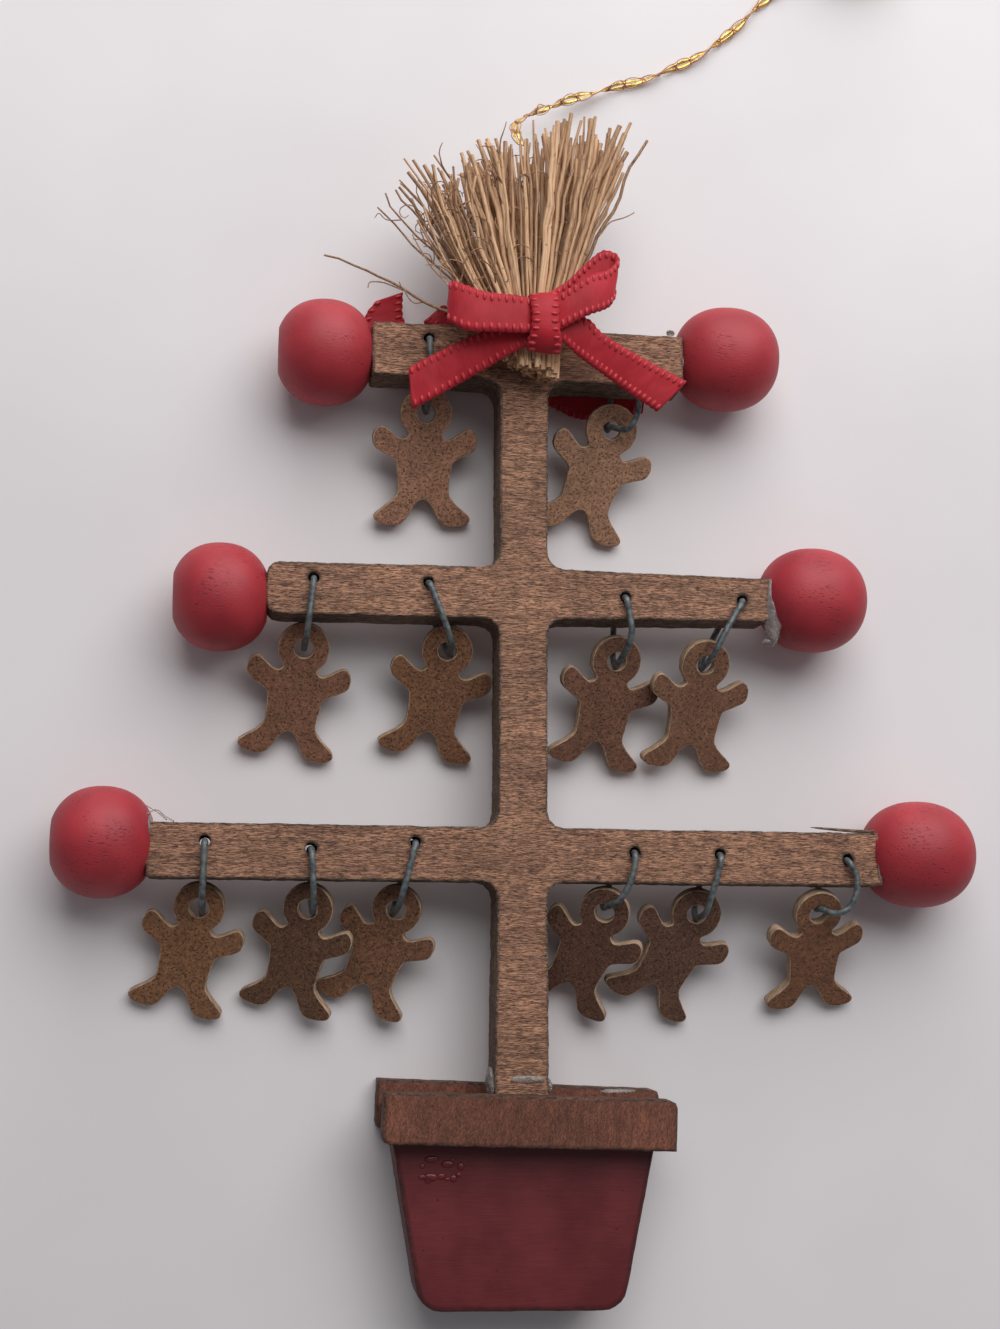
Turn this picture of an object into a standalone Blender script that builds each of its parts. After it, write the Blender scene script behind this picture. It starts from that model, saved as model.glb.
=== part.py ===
# Wooden tree ornament, lying on its back: a sawn tree in a flower pot, with beads, gingerbread men,
# a bundle of straw, two ribbon bows and a gold cord. Metres, +Z up, +Y towards the top of the tree.
# The origin is on the table, under the middle of the pot's rim.
import math

import bmesh
import bpy
from mathutils import Euler, Matrix, Vector

# Board, pot and beads
BOARD_THICKNESS = 0.0058
GLUE_GAP = 0.0003
RIM_THICKNESS = 0.0030
RIM_WIDTH = 0.0324
RIM_HEIGHT = 0.0055
RIM_CORNER = 0.0008
RIM_FRONT_TURN = math.radians(-1.9)
RIM_BACK_TURN = math.radians(-2.4)
RIM_BACK_RISE = 0.0006
RIM_SHIFT = 0.0006
POT_TOP_WIDTH = 0.0310
POT_BOTTOM_WIDTH = 0.0224
POT_BODY_HEIGHT = 0.0222
POT_CORNER = 0.0027
POT_TURN = math.radians(-0.8)
POT_SHIFT = 0.0004
POT_TOP_BELOW_RIM = 0.0009
BEAD_DIAMETER = 0.0124
BEAD_HOLE = 0.0030
BEAD_FLAT = 0.0056

# Tree: the stem, then each bar's level, and for its left and right arms the reach, how far the end
# rises over that level, and the end's height
STEM_WIDTH = 0.0056
STEM_FOOT_WIDTH = 0.0061
INNER_CORNER = 0.0019
END_CORNER = 0.0004
ROUNDED_END_CORNER = 0.0014
TOP_BAR = dict(level=0.0873, left=(-0.0178, 0.0000, 0.0063), right=(0.0190, 0.0000, 0.0063))
MIDDLE_BAR = dict(level=0.0590, left=(-0.0293, -0.0002, 0.0060), right=(0.0291, 0.0001, 0.0050))
BOTTOM_BAR = dict(level=0.0291, left=(-0.0417, 0.0001, 0.0061), right=(0.0420, -0.0001, 0.0061))
# Beads: which bar and end, the length along the bar, and how far above the arm's end it is glued
BEADS = (
    ("top", TOP_BAR, "left", 0.0104, 0.0000),
    ("top", TOP_BAR, "right", 0.0115, 0.0015),
    ("middle", MIDDLE_BAR, "left", 0.0101, -0.0008),
    ("middle", MIDDLE_BAR, "right", 0.0116, 0.0006),
    ("bottom", BOTTOM_BAR, "left", 0.0101, 0.0009),
    ("bottom", BOTTOM_BAR, "right", 0.0112, 0.0008),
)

# Gingerbread men: one outline, hung through the head on wires
FIGURE_HEIGHT = 0.0158
FIGURE_THICKNESS = 0.0013
FIGURE_HOLE = 0.0022
FIGURE_FLOOR_GAP = 0.0001
FIGURE_BAR_GAP = 0.0002
WIRE_DIAMETER = 0.0008
WIRE_HOLE = 0.0017
WIRE_BEND = 0.0009
WIRE_SLACK = 0.0001
WIRE_SHOULDER = 0.0010
# For each man his bar, his wire's hole along it and above its lower edge, the middle of his head
# along it, and how much lower he hangs than just under it
FIGURE_PLACES = (
    (TOP_BAR, -0.0112, 0.0046, -0.0111, 0.0000),
    (TOP_BAR, 0.0122, 0.0034, 0.0110, 0.0012),
    (MIDDLE_BAR, -0.0240, 0.0042, -0.0248, 0.0000),
    (MIDDLE_BAR, -0.0110, 0.0040, -0.0083, 0.0000),
    (MIDDLE_BAR, 0.0119, 0.0027, 0.0115, 0.0010),
    (MIDDLE_BAR, 0.0258, 0.0024, 0.0219, 0.0015),
    (BOTTOM_BAR, -0.0354, 0.0041, -0.0358, 0.0000),
    (BOTTOM_BAR, -0.0237, 0.0034, -0.0237, 0.0000),
    (BOTTOM_BAR, -0.0121, 0.0043, -0.0137, 0.0000),
    (BOTTOM_BAR, 0.0129, 0.0035, 0.0099, 0.0000),
    (BOTTOM_BAR, 0.0228, 0.0034, 0.0208, 0.0000),
    (BOTTOM_BAR, 0.0379, 0.0030, 0.0349, 0.0000),
)
# Then his size beside the full height, and his turns in degrees: how far he leans in the table's
# plane, lifts his head and lowers one side
FIGURE_TURNS = (
    (1.03, 0, 18, 3),
    (1.03, -18, 19, 6),
    (1.00, -9, 17, 1),
    (1.00, -11, 18, 2),
    (1.00, -11, 17, 9),
    (1.00, -7, 22, 9),
    (0.96, -13, 17, -2),
    (0.96, -12, 18, -9),
    (0.95, -21, 15, -7),
    (0.97, -22, 25, -9),
    (0.98, -28, 18, 9),
    (0.95, 2, 28, 3),
)

# Straw bundle: height above the top bar's lower edge, left and right edges, depth, and how far its
# middle has come forward from the top bar's face
BUNDLE_TIED_DEPTH = 0.0048
BUNDLE_STATIONS = (
    (-0.0012, -0.0028, 0.0036, 0.0040, 0.0000),
    (0.0030, -0.0031, 0.0038, 0.0046, 0.0000),
    (0.0072, -0.0037, 0.0042, BUNDLE_TIED_DEPTH, 0.0000),
    (0.0096, -0.0060, 0.0052, 0.0050, 0.0000),
    (0.0142, -0.0104, 0.0068, 0.0068, -0.0004),
    (0.0195, -0.0130, 0.0084, 0.0086, -0.0008),
    (0.0250, -0.0142, 0.0102, 0.0098, -0.0010),
    (0.0300, -0.0144, 0.0118, 0.0100, -0.0010),
)
BUNDLE_WAIST = 0.0072
BUNDLE_PEAK = 0.0060
BUNDLE_SLOPE = 0.50
BUNDLE_FLUTES = 14
BUNDLE_FLUTE_SIDES = 3
BUNDLE_FLUTE_DEPTH = 0.05
BUNDLE_RAGGED = 0.0012
BUNDLE_RAGGED_TURN = 2.6

# Ribbon
RIBBON_WIDTH = 0.0050
RIBBON_THICKNESS = 0.0004
KNOT_SIZE = (0.0038, 0.0052, 0.0026)
KNOT_CORNER = 0.0008
BOW_PLACE = (0.0010, 0.0052)
LOOP_LEFT_REACH = 0.0105
LOOP_LEFT_TURN = math.radians(176)
LOOP_RIGHT_REACH = 0.0094
LOOP_RIGHT_TURN = math.radians(36)
LOOP_DEPTH = 0.0022
LOOP_MOUTH = 0.0005
TAIL_LEFT_REACH = 0.0166
TAIL_LEFT_TURN = math.radians(209)
TAIL_RIGHT_REACH = 0.0178
TAIL_RIGHT_TURN = math.radians(-27)
TAIL_FALL = 0.0040
BACK_KNOT_SIZE = (0.0040, 0.0044, 0.0022)
BACK_BOW_PLACE = (0.0000, 0.0034)
BACK_TAIL_WIDTH = 0.0045
BACK_TAIL_LEFT_REACH = 0.0176
BACK_TAIL_LEFT_TURN = math.radians(154)
BACK_TAIL_RIGHT_REACH = 0.0160
BACK_TAIL_RIGHT_TURN = math.radians(-11)
BACK_LOOP_WIDTH = 0.0040
BACK_LOOP_REACH = 0.0095
BACK_LOOP_DEPTH = 0.0015
BACK_LOOP_LEFT_TURN = math.radians(146)
BACK_LOOP_RIGHT_TURN = math.radians(8)

# Gold cord: its route from the straws to where the coil begins, then the coil and the end knot
CORD_DIAMETER = 0.0010
CORD_ROUTE = (
    (-0.0006, 0.1128, 0.0096), (-0.0011, 0.1144, 0.0089), (-0.0010, 0.1160, 0.0078),
    (0.0000, 0.1176, 0.0064), (0.0015, 0.1191, 0.0050), (0.0036, 0.1206, 0.0036),
    (0.0062, 0.1222, 0.0024), (0.0093, 0.1237, 0.0014), (0.0130, 0.1253, 0.0008),
    (0.0170, 0.1267, 0.0006), (0.0204, 0.1284, 0.0007), (0.0234, 0.1301, 0.0006),
    (0.0262, 0.1323, 0.0005), (0.0290, 0.1350, 0.0005), (0.0319, 0.1381, 0.0005),
    (0.0350, 0.1406, 0.0005), (0.0379, 0.1422, 0.0005), (0.0405, 0.1429, 0.0005),
)
CORD_POINTS = 36
COIL_CENTRE = (0.0440, 0.1485)
COIL_RADIUS = 0.0055
COIL_TURNS = 4
KNOT_DIAMETER = 0.0024
KNOT_TURN = math.radians(-60)

# Worked out from the sizes above
POT_DEPTH = BOARD_THICKNESS + 2 * (GLUE_GAP + RIM_THICKNESS)
MIDDLE_Z = max(POT_DEPTH, BEAD_DIAMETER) / 2
BOARD_FRONT = MIDDLE_Z + BOARD_THICKNESS / 2
BOARD_BACK = MIDDLE_Z - BOARD_THICKNESS / 2
POT_TOP = RIM_HEIGHT / 2 - POT_TOP_BELOW_RIM
STEM_FOOT = POT_TOP + GLUE_GAP


def clear_scene():
    for item in list(bpy.data.objects):
        bpy.data.objects.remove(item)


def new_collection(name):
    collection = bpy.data.collections.new(name)
    bpy.context.scene.collection.children.link(collection)
    return collection


def material(name, colour, roughness, metallic=0.0):
    made = bpy.data.materials.new(name)
    made.use_nodes = True
    shader = made.node_tree.nodes["Principled BSDF"]
    shader.inputs["Base Color"].default_value = (*colour, 1.0)
    shader.inputs["Roughness"].default_value = roughness
    shader.inputs["Metallic"].default_value = metallic
    return made


def place(name, data, finish, collection):
    item = bpy.data.objects.new(name, data)
    data.materials.append(finish)
    collection.objects.link(item)
    return item


def rounded(corners, steps=3):
    """Points of a closed outline whose corners (x, y, radius) are replaced by arcs."""
    points = []
    for index, (x, y, radius) in enumerate(corners):
        here = Vector((x, y))
        before = (Vector(corners[index - 1][:2]) - here).normalized()
        after = (Vector(corners[(index + 1) % len(corners)][:2]) - here).normalized()
        if radius <= 0:
            points.append(here)
            continue
        half = before.angle(after) / 2
        centre = here + (before + after).normalized() * (radius / math.sin(half))
        start = here + before * (radius / math.tan(half)) - centre
        end = here + after * (radius / math.tan(half)) - centre
        points += [centre + start.slerp(end, step / steps) * radius for step in range(steps + 1)]
    return points


def circle(x, y, diameter, sides):
    turn = 2 * math.pi / sides
    return [Vector((x + math.cos(turn * n) * diameter / 2, y + math.sin(turn * n) * diameter / 2))
            for n in range(sides)]


def flat_piece(name, outlines, thickness, finish, collection):
    """A sawn or cut flat piece: a filled 2D outline, with any holes as further outlines."""
    curve = bpy.data.curves.new(name, "CURVE")
    curve.dimensions = "2D"
    curve.fill_mode = "BOTH"
    curve.extrude = thickness / 2
    for outline in outlines:
        spline = curve.splines.new("POLY")
        spline.points.add(len(outline) - 1)
        for point, (x, y) in zip(spline.points, outline):
            point.co = (x, y, 0, 1)
        spline.use_cyclic_u = True
    return place(name, curve, finish, collection)


def wire_piece(name, points, diameter, rings, closed, finish, collection):
    """A round wire or cord along a list of 3D points."""
    curve = bpy.data.curves.new(name, "CURVE")
    curve.dimensions = "3D"
    curve.bevel_depth = diameter / 2
    curve.bevel_resolution = rings
    curve.use_fill_caps = not closed
    spline = curve.splines.new("POLY")
    spline.points.add(len(points) - 1)
    for point, place_at in zip(spline.points, points):
        point.co = (*place_at, 1)
    spline.use_cyclic_u = closed
    return place(name, curve, finish, collection)


def smooth_route(route, count):
    """Evenly spaced points on a smooth curve through the route's points."""
    steps = 12
    dense = []
    stops = [Vector(point) for point in route]
    padded = [2 * stops[0] - stops[1]] + stops + [2 * stops[-1] - stops[-2]]
    for a, b, c, d in zip(padded, padded[1:], padded[2:], padded[3:]):
        for step in range(steps):
            t = step / steps
            dense.append(0.5 * (2 * b + (c - a) * t + (2 * a - 5 * b + 4 * c - d) * t * t
                                + (3 * b - a - 3 * c + d) * t ** 3))
    dense.append(stops[-1])
    lengths = [0.0]
    for a, b in zip(dense, dense[1:]):
        lengths.append(lengths[-1] + (b - a).length)
    points = []
    index = 0
    for n in range(count):
        target = lengths[-1] * n / (count - 1)
        while index < len(dense) - 2 and lengths[index + 1] < target:
            index += 1
        share = (target - lengths[index]) / (lengths[index + 1] - lengths[index])
        points.append(dense[index].lerp(dense[index + 1], min(share, 1.0)))
    return points


def bar_edges(bar, x):
    """The lower and upper edges of a bar at a place along it."""
    reach, rise, end_height = bar["left" if x < 0 else "right"]
    inner_height = max(bar["left"][2], bar["right"][2])
    share = min(abs(x / reach), 1.0)
    level = bar["level"] + rise * share
    height = inner_height + (end_height - inner_height) * share
    return level - height / 2, level + height / 2


def tree_outline():
    """Right half from the foot up to the top bar, then the left half back down."""
    stem = STEM_WIDTH / 2
    foot = STEM_FOOT_WIDTH / 2
    corners = [(foot, STEM_FOOT, 0)]
    for bar in (BOTTOM_BAR, MIDDLE_BAR, TOP_BAR):
        end = bar["right"][0]
        lower, upper = bar_edges(bar, stem)
        end_lower, end_upper = bar_edges(bar, end)
        corners.append((stem, lower, INNER_CORNER))
        corners += [(end, end_lower, END_CORNER), (end, end_upper, END_CORNER)]
        if bar is not TOP_BAR:
            corners.append((stem, upper, INNER_CORNER))
    for bar in (TOP_BAR, MIDDLE_BAR, BOTTOM_BAR):
        end = bar["left"][0]
        lower, upper = bar_edges(bar, -stem)
        end_lower, end_upper = bar_edges(bar, end)
        corner = ROUNDED_END_CORNER if bar is MIDDLE_BAR else END_CORNER
        if bar is not TOP_BAR:
            corners.append((-stem, upper, INNER_CORNER))
        corners += [(end, end_upper, corner), (end, end_lower, corner)]
        corners.append((-stem, lower, INNER_CORNER))
    corners.append((-foot, STEM_FOOT, 0))
    return rounded(corners)


def hole_place(bar, along, rise):
    return along, bar_edges(bar, along)[0] + rise


def make_tree(finish, collection):
    outlines = [tree_outline()]
    for bar, along, rise, _, _ in FIGURE_PLACES:
        outlines.append(circle(*hole_place(bar, along, rise), WIRE_HOLE, 8))
    tree = flat_piece("tree_frame", outlines, BOARD_THICKNESS, finish, collection)
    tree.location.z = MIDDLE_Z


def make_pot(red, brown, collection):
    bottom = POT_TOP - POT_BODY_HEIGHT
    corners = [(-POT_TOP_WIDTH / 2, POT_TOP, 0), (-POT_BOTTOM_WIDTH / 2, bottom, POT_CORNER),
               (POT_BOTTOM_WIDTH / 2, bottom, POT_CORNER), (POT_TOP_WIDTH / 2, POT_TOP, 0)]
    board = flat_piece("pot_board", [rounded(corners, 5)], BOARD_THICKNESS, red, collection)
    board.location = (POT_SHIFT, 0, MIDDLE_Z)
    board.rotation_euler.z = POT_TURN
    half_width = RIM_WIDTH / 2
    half_height = RIM_HEIGHT / 2
    strip = rounded([(-half_width, -half_height, RIM_CORNER), (half_width, -half_height, 0),
                     (half_width, half_height, RIM_CORNER), (-half_width, half_height, 0)], 2)
    offset = BOARD_THICKNESS / 2 + GLUE_GAP + RIM_THICKNESS / 2
    front = flat_piece("rim_front", [strip], RIM_THICKNESS, brown, collection)
    front.location = (RIM_SHIFT, 0, MIDDLE_Z + offset)
    front.rotation_euler.z = RIM_FRONT_TURN
    back = flat_piece("rim_back", [strip], RIM_THICKNESS, brown, collection)
    back.location = (RIM_SHIFT, RIM_BACK_RISE, MIDDLE_Z - offset)
    back.rotation_euler.z = RIM_BACK_TURN


def bead_mesh(name, length):
    """Profile of a drilled bead, flattened around the hole, turned about its length."""
    steps = 6
    edge = math.acos(BEAD_FLAT / BEAD_DIAMETER)
    half_axis = length / 2 / math.sin(edge)
    profile = [(BEAD_HOLE / 2, length / 2)]
    for n in range(steps + 1):
        angle = edge - 2 * edge * n / steps
        profile.append((BEAD_DIAMETER / 2 * math.cos(angle), math.sin(angle) * half_axis))
    profile.append((BEAD_HOLE / 2, -length / 2))
    mesh = bpy.data.meshes.new(name)
    edges = [(n, (n + 1) % len(profile)) for n in range(len(profile))]
    mesh.from_pydata([(x, 0, z) for x, z in profile], edges, [])
    return mesh


def make_beads(finish, collection):
    for bar_name, bar, side, length, rise in BEADS:
        reach, arm_rise, _ = bar[side]
        level = bar["level"] + arm_rise
        name = f"bead_{bar_name}_{side}"
        bead = place(name, bead_mesh(name, length), finish, collection)
        screw = bead.modifiers.new("turn", "SCREW")
        screw.steps = 16
        screw.render_steps = 16
        screw.use_merge_vertices = True
        screw.merge_threshold = 0.00001
        screw.use_smooth_shade = True
        bead.location = (reach + math.copysign(GLUE_GAP + length / 2, reach), level + rise, MIDDLE_Z)
        bead.rotation_euler.y = math.pi / 2


def figure_outline(height):
    """A gingerbread man about the middle of his head, in shares of his height."""
    head = 0.187 * height
    right = [(0.130, -0.165), (0.165, -0.185), (0.215, -0.165)]
    right += [(0.318 + 0.062 * math.cos(a), -0.188 + 0.088 * math.sin(a))
              for a in (2.2, 1.4, 0.6, -0.2, -1.1)]
    right += [(0.225, -0.335), (0.200, -0.380), (0.187, -0.520), (0.196, -0.595), (0.262, -0.665),
              (0.345, -0.735), (0.335, -0.785), (0.270, -0.808), (0.180, -0.808), (0.120, -0.765),
              (0.060, -0.660)]
    arc = [(math.sin(a) * head, math.cos(a) * head) for a in (0.5, 1.0, 1.5, 2.0, 2.4)]
    half = arc + [(point[0] * height, point[1] * height) for point in right]
    left = [(-x, y) for x, y in reversed(half)]
    return [Vector((0, head))] + [Vector(p) for p in half] + [Vector((0, -0.618 * height))] \
        + [Vector(p) for p in left]


def figure_pose(bar, along, lower, lean, lift, side, outline):
    """Where the middle of a figure's head is, and how the figure is turned."""
    turn = Euler((math.radians(lift), math.radians(side), math.radians(lean)), "YXZ")
    matrix = turn.to_matrix()
    half = FIGURE_THICKNESS / 2
    turned = [matrix @ Vector((x, y, z)) for x, y in outline for z in (-half, half)]
    floor = -min(point.z for point in turned) + FIGURE_FLOOR_GAP
    top = max(point.y for point in turned)
    edge = bar_edges(bar, along)[0]
    return Vector((along, edge - FIGURE_BAR_GAP - lower - top, floor)), turn


def wire_route(hole, head):
    """A wire's closed round: through the bar, down its face, through the head and up behind it."""
    along = Vector((head.x - hole[0], head.y - hole[1], 0))
    reach = along.length
    along.normalize()
    wire = WIRE_DIAMETER / 2
    front = BOARD_FRONT + GLUE_GAP + wire
    back = BOARD_BACK - GLUE_GAP - wire
    low = reach + WIRE_SLACK
    shoulder = low - WIRE_SHOULDER
    level = min(max(head.z, back + 2 * WIRE_BEND), front - 2 * WIRE_BEND)
    corners = [(0, back, WIRE_BEND), (0, front, WIRE_BEND), (shoulder, front, WIRE_BEND),
               (low, level + WIRE_BEND, WIRE_BEND / 2), (low, level - WIRE_BEND, WIRE_BEND / 2),
               (shoulder, back, WIRE_BEND)]
    start = Vector((*hole, 0))
    return [start + along * s + Vector((0, 0, z)) for s, z in rounded(corners, 2)]


def make_figures(brown, grey, collection):
    head_hole = circle(0, 0, FIGURE_HOLE, 10)
    for number, (spot, pose) in enumerate(zip(FIGURE_PLACES, FIGURE_TURNS), 1):
        bar, hole_along, hole_rise, along, lower = spot
        size, lean, lift, side = pose
        outline = figure_outline(FIGURE_HEIGHT * size)
        head, turn = figure_pose(bar, along, lower, lean, lift, side, outline)
        outlines = [outline, head_hole]
        man = flat_piece(f"figure_{number:02d}", outlines, FIGURE_THICKNESS, brown, collection)
        man.rotation_mode = "YXZ"
        man.rotation_euler = turn
        man.location = head
        route = wire_route(hole_place(bar, hole_along, hole_rise), head)
        wire_piece(f"wire_{number:02d}", route, WIRE_DIAMETER, 1, True, grey, collection)


def loft(name, rings, finish, collection):
    """A closed skin over rings of points that all have the same count."""
    mesh = bpy.data.meshes.new(name)
    work = bmesh.new()
    rows = [[work.verts.new(point) for point in ring] for ring in rings]
    count = len(rings[0])
    for lower, upper in zip(rows, rows[1:]):
        for n in range(count):
            work.faces.new((lower[n], lower[(n + 1) % count], upper[(n + 1) % count], upper[n]))
    for row in (rows[0], rows[-1]):
        middle = work.verts.new(sum((vertex.co for vertex in row), Vector()) / count)
        for n in range(count):
            work.faces.new((row[n], row[(n + 1) % count], middle))
    bmesh.ops.recalc_face_normals(work, faces=work.faces)
    work.to_mesh(mesh)
    work.free()
    return place(name, mesh, finish, collection)


def make_bundle(finish, collection):
    """Fluted fan of straws, narrow where the ribbon is and ragged at its tips."""
    sides = BUNDLE_FLUTES * BUNDLE_FLUTE_SIDES
    base = bar_edges(TOP_BAR, 0)[0]
    tips = BUNDLE_STATIONS[-1][0]
    rings = []
    for rise, left, right, depth, forward in BUNDLE_STATIONS:
        middle = BOARD_FRONT + GLUE_GAP + BUNDLE_TIED_DEPTH / 2 + forward
        spread = max(rise - BUNDLE_WAIST, 0) / (tips - BUNDLE_WAIST)
        ragged = BUNDLE_RAGGED if rise == tips else 0.0
        ring = []
        for n in range(sides):
            angle = 2 * math.pi * n / sides
            flute = 1 - BUNDLE_FLUTE_DEPTH * (n % BUNDLE_FLUTE_SIDES == 0)
            x = (left + right) / 2 + math.cos(angle) * (right - left) / 2 * flute
            z = middle + math.sin(angle) * depth / 2 * flute
            y = base + rise - spread * BUNDLE_SLOPE * max(BUNDLE_PEAK - x, 0)
            ring.append(Vector((x, y + ragged * math.sin(BUNDLE_RAGGED_TURN * n), z)))
        rings.append(ring)
    loft("bristle_bundle", rings, finish, collection)


def ribbon_strip(name, route, width, turn, at, finish, collection):
    """A strip of ribbon: a route in the X-Z plane, as wide as the ribbon across it, turned about Z."""
    curve = bpy.data.curves.new(name, "CURVE")
    curve.dimensions = "2D"
    curve.fill_mode = "NONE"
    curve.extrude = width / 2
    spline = curve.splines.new("POLY")
    spline.points.add(len(route) - 1)
    for point, (x, z) in zip(spline.points, route):
        point.co = (x, z, 0, 1)
    strip = place(name, curve, finish, collection)
    solid = strip.modifiers.new("thickness", "SOLIDIFY")
    solid.thickness = RIBBON_THICKNESS
    solid.offset = 0
    upright = Matrix.Rotation(math.pi / 2, 4, "X")
    strip.matrix_world = Matrix.Translation(at) @ Matrix.Rotation(turn, 4, "Z") @ upright
    bpy.context.view_layer.update()
    evaluated = strip.evaluated_get(bpy.context.evaluated_depsgraph_get())
    shape = bpy.data.meshes.new_from_object(evaluated)
    work = bmesh.new()
    work.from_mesh(shape)
    bmesh.ops.remove_doubles(work, verts=work.verts, dist=0.000001)
    bmesh.ops.recalc_face_normals(work, faces=work.faces)
    work.to_mesh(shape)
    work.free()
    solid_strip = bpy.data.objects.new(name, shape)
    solid_strip.matrix_world = strip.matrix_world
    collection.objects.link(solid_strip)
    bpy.data.objects.remove(strip)
    return solid_strip


def loop_route(reach, depth, points=5):
    """One loop of a bow, out and round a fold and back, open at the knot."""
    route = []
    for n in range(points + 2):
        angle = math.pi * n / (points + 1) - math.pi / 2
        route.append((reach - depth / 2 + math.cos(angle) * depth / 2, math.sin(angle) * depth / 2))
    return [(0.0, -LOOP_MOUTH / 2)] + route + [(0.0, LOOP_MOUTH / 2)]


def fall_route(reach, fall, points=5):
    """One tail of a bow, falling away from the knot."""
    quarter = math.pi / 2
    return [(reach * n / points, -fall * math.sin(quarter * n / points)) for n in range(points + 1)]


def bow(name, place_at, knot_size, strips, finish, collection, guides):
    """A knot with its loops and tails joined to it as one piece."""
    bpy.ops.mesh.primitive_cube_add(size=1, location=place_at)
    knot = bpy.context.object
    knot.name = name
    for vertex in knot.data.vertices:
        vertex.co = Vector(vertex.co[n] * knot_size[n] for n in range(3))
    for owner in list(knot.users_collection):
        owner.objects.unlink(knot)
    collection.objects.link(knot)
    knot.data.materials.append(finish)
    soft = knot.modifiers.new("soft edges", "BEVEL")
    soft.width = KNOT_CORNER
    soft.segments = 2
    for label, route, width, turn in strips:
        strip = ribbon_strip(f"{name}_{label}", route, width, turn, place_at, finish, guides)
        strip.hide_render = True
        strip.display_type = "WIRE"
        join = knot.modifiers.new(label, "BOOLEAN")
        join.operation = "UNION"
        join.object = strip


def make_bows(finish, collection, guides):
    base = bar_edges(TOP_BAR, 0)[0]
    front_z = BOARD_FRONT + 2 * GLUE_GAP + BUNDLE_TIED_DEPTH + KNOT_SIZE[2] / 2
    left_loop = loop_route(LOOP_LEFT_REACH, LOOP_DEPTH)
    right_loop = loop_route(LOOP_RIGHT_REACH, LOOP_DEPTH)
    left_tail = fall_route(TAIL_LEFT_REACH, TAIL_FALL)
    right_tail = fall_route(TAIL_RIGHT_REACH, TAIL_FALL)
    bow("front_bow", Vector((BOW_PLACE[0], base + BOW_PLACE[1], front_z)), KNOT_SIZE, (
        ("loop_left", left_loop, RIBBON_WIDTH, LOOP_LEFT_TURN),
        ("loop_right", right_loop, RIBBON_WIDTH, LOOP_RIGHT_TURN),
        ("tail_left", left_tail, RIBBON_WIDTH, TAIL_LEFT_TURN),
        ("tail_right", right_tail, RIBBON_WIDTH, TAIL_RIGHT_TURN),
    ), finish, collection, guides)
    back_z = BOARD_BACK - GLUE_GAP - BACK_KNOT_SIZE[2] / 2
    back_loop = loop_route(BACK_LOOP_REACH, BACK_LOOP_DEPTH)
    left_tail = fall_route(BACK_TAIL_LEFT_REACH, 0)
    right_tail = fall_route(BACK_TAIL_RIGHT_REACH, 0)
    place_at = Vector((BACK_BOW_PLACE[0], base + BACK_BOW_PLACE[1], back_z))
    bow("back_bow", place_at, BACK_KNOT_SIZE, (
        ("tail_left", left_tail, BACK_TAIL_WIDTH, BACK_TAIL_LEFT_TURN),
        ("tail_right", right_tail, BACK_TAIL_WIDTH, BACK_TAIL_RIGHT_TURN),
        ("loop_left", back_loop, BACK_LOOP_WIDTH, BACK_LOOP_LEFT_TURN),
        ("loop_right", back_loop, BACK_LOOP_WIDTH, BACK_LOOP_RIGHT_TURN),
    ), finish, collection, guides)


def make_cord(finish, collection):
    points = smooth_route(CORD_ROUTE, CORD_POINTS)
    for point in points:
        point.z = max(point.z, CORD_DIAMETER / 2)
    wire_piece("cord_run", points, CORD_DIAMETER, 2, False, finish, collection)
    height = CORD_DIAMETER * (COIL_TURNS + 1)
    inner = COIL_RADIUS - CORD_DIAMETER / 2
    outer = COIL_RADIUS + CORD_DIAMETER / 2
    mesh = bpy.data.meshes.new("cord_coil")
    profile = [(inner, height), (outer, height), (outer, 0.0), (inner, 0.0)]
    edges = [(n, (n + 1) % len(profile)) for n in range(len(profile))]
    mesh.from_pydata([(x, 0, z) for x, z in profile], edges, [])
    coil = place("cord_coil", mesh, finish, collection)
    turn = coil.modifiers.new("turn", "SCREW")
    turn.steps = 24
    turn.render_steps = 24
    turn.use_merge_vertices = True
    turn.merge_threshold = 0.00001
    coil.location = (*COIL_CENTRE, 0)
    mesh = bpy.data.meshes.new("cord_knot")
    work = bmesh.new()
    bmesh.ops.create_uvsphere(work, u_segments=12, v_segments=8, radius=KNOT_DIAMETER / 2)
    work.to_mesh(mesh)
    work.free()
    knot = place("cord_knot", mesh, finish, collection)
    knot_x = COIL_CENTRE[0] + math.cos(KNOT_TURN) * COIL_RADIUS
    knot_y = COIL_CENTRE[1] + math.sin(KNOT_TURN) * COIL_RADIUS
    knot.location = (knot_x, knot_y, height + GLUE_GAP + KNOT_DIAMETER / 2)


def build():
    clear_scene()
    parts = new_collection("Wooden tree ornament")
    guides = new_collection("Cutters")
    stain = material("stained_wood", (0.22, 0.12, 0.065), 0.75)
    pot_paint = material("pot_paint", (0.11, 0.012, 0.014), 0.45)
    rim_wood = material("rim_wood", (0.16, 0.075, 0.04), 0.6)
    bead_paint = material("bead_paint", (0.42, 0.02, 0.03), 0.6)
    board = material("ginger_board", (0.17, 0.085, 0.045), 0.85)
    wire = material("grey_wire", (0.12, 0.13, 0.14), 0.4, 0.9)
    straw = material("straw", (0.5, 0.32, 0.17), 0.8)
    satin = material("red_satin", (0.6, 0.012, 0.03), 0.35)
    gold = material("gold_cord", (0.75, 0.5, 0.15), 0.3, 0.9)
    make_tree(stain, parts)
    make_pot(pot_paint, rim_wood, parts)
    make_beads(bead_paint, parts)
    make_figures(board, wire, parts)
    make_bundle(straw, parts)
    make_bows(satin, parts, guides)
    make_cord(gold, parts)


build()
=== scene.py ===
import math
import random

import bmesh
import bpy
from mathutils import Matrix, Vector, noise
from mathutils.geometry import delaunay_2d_cdt


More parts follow.
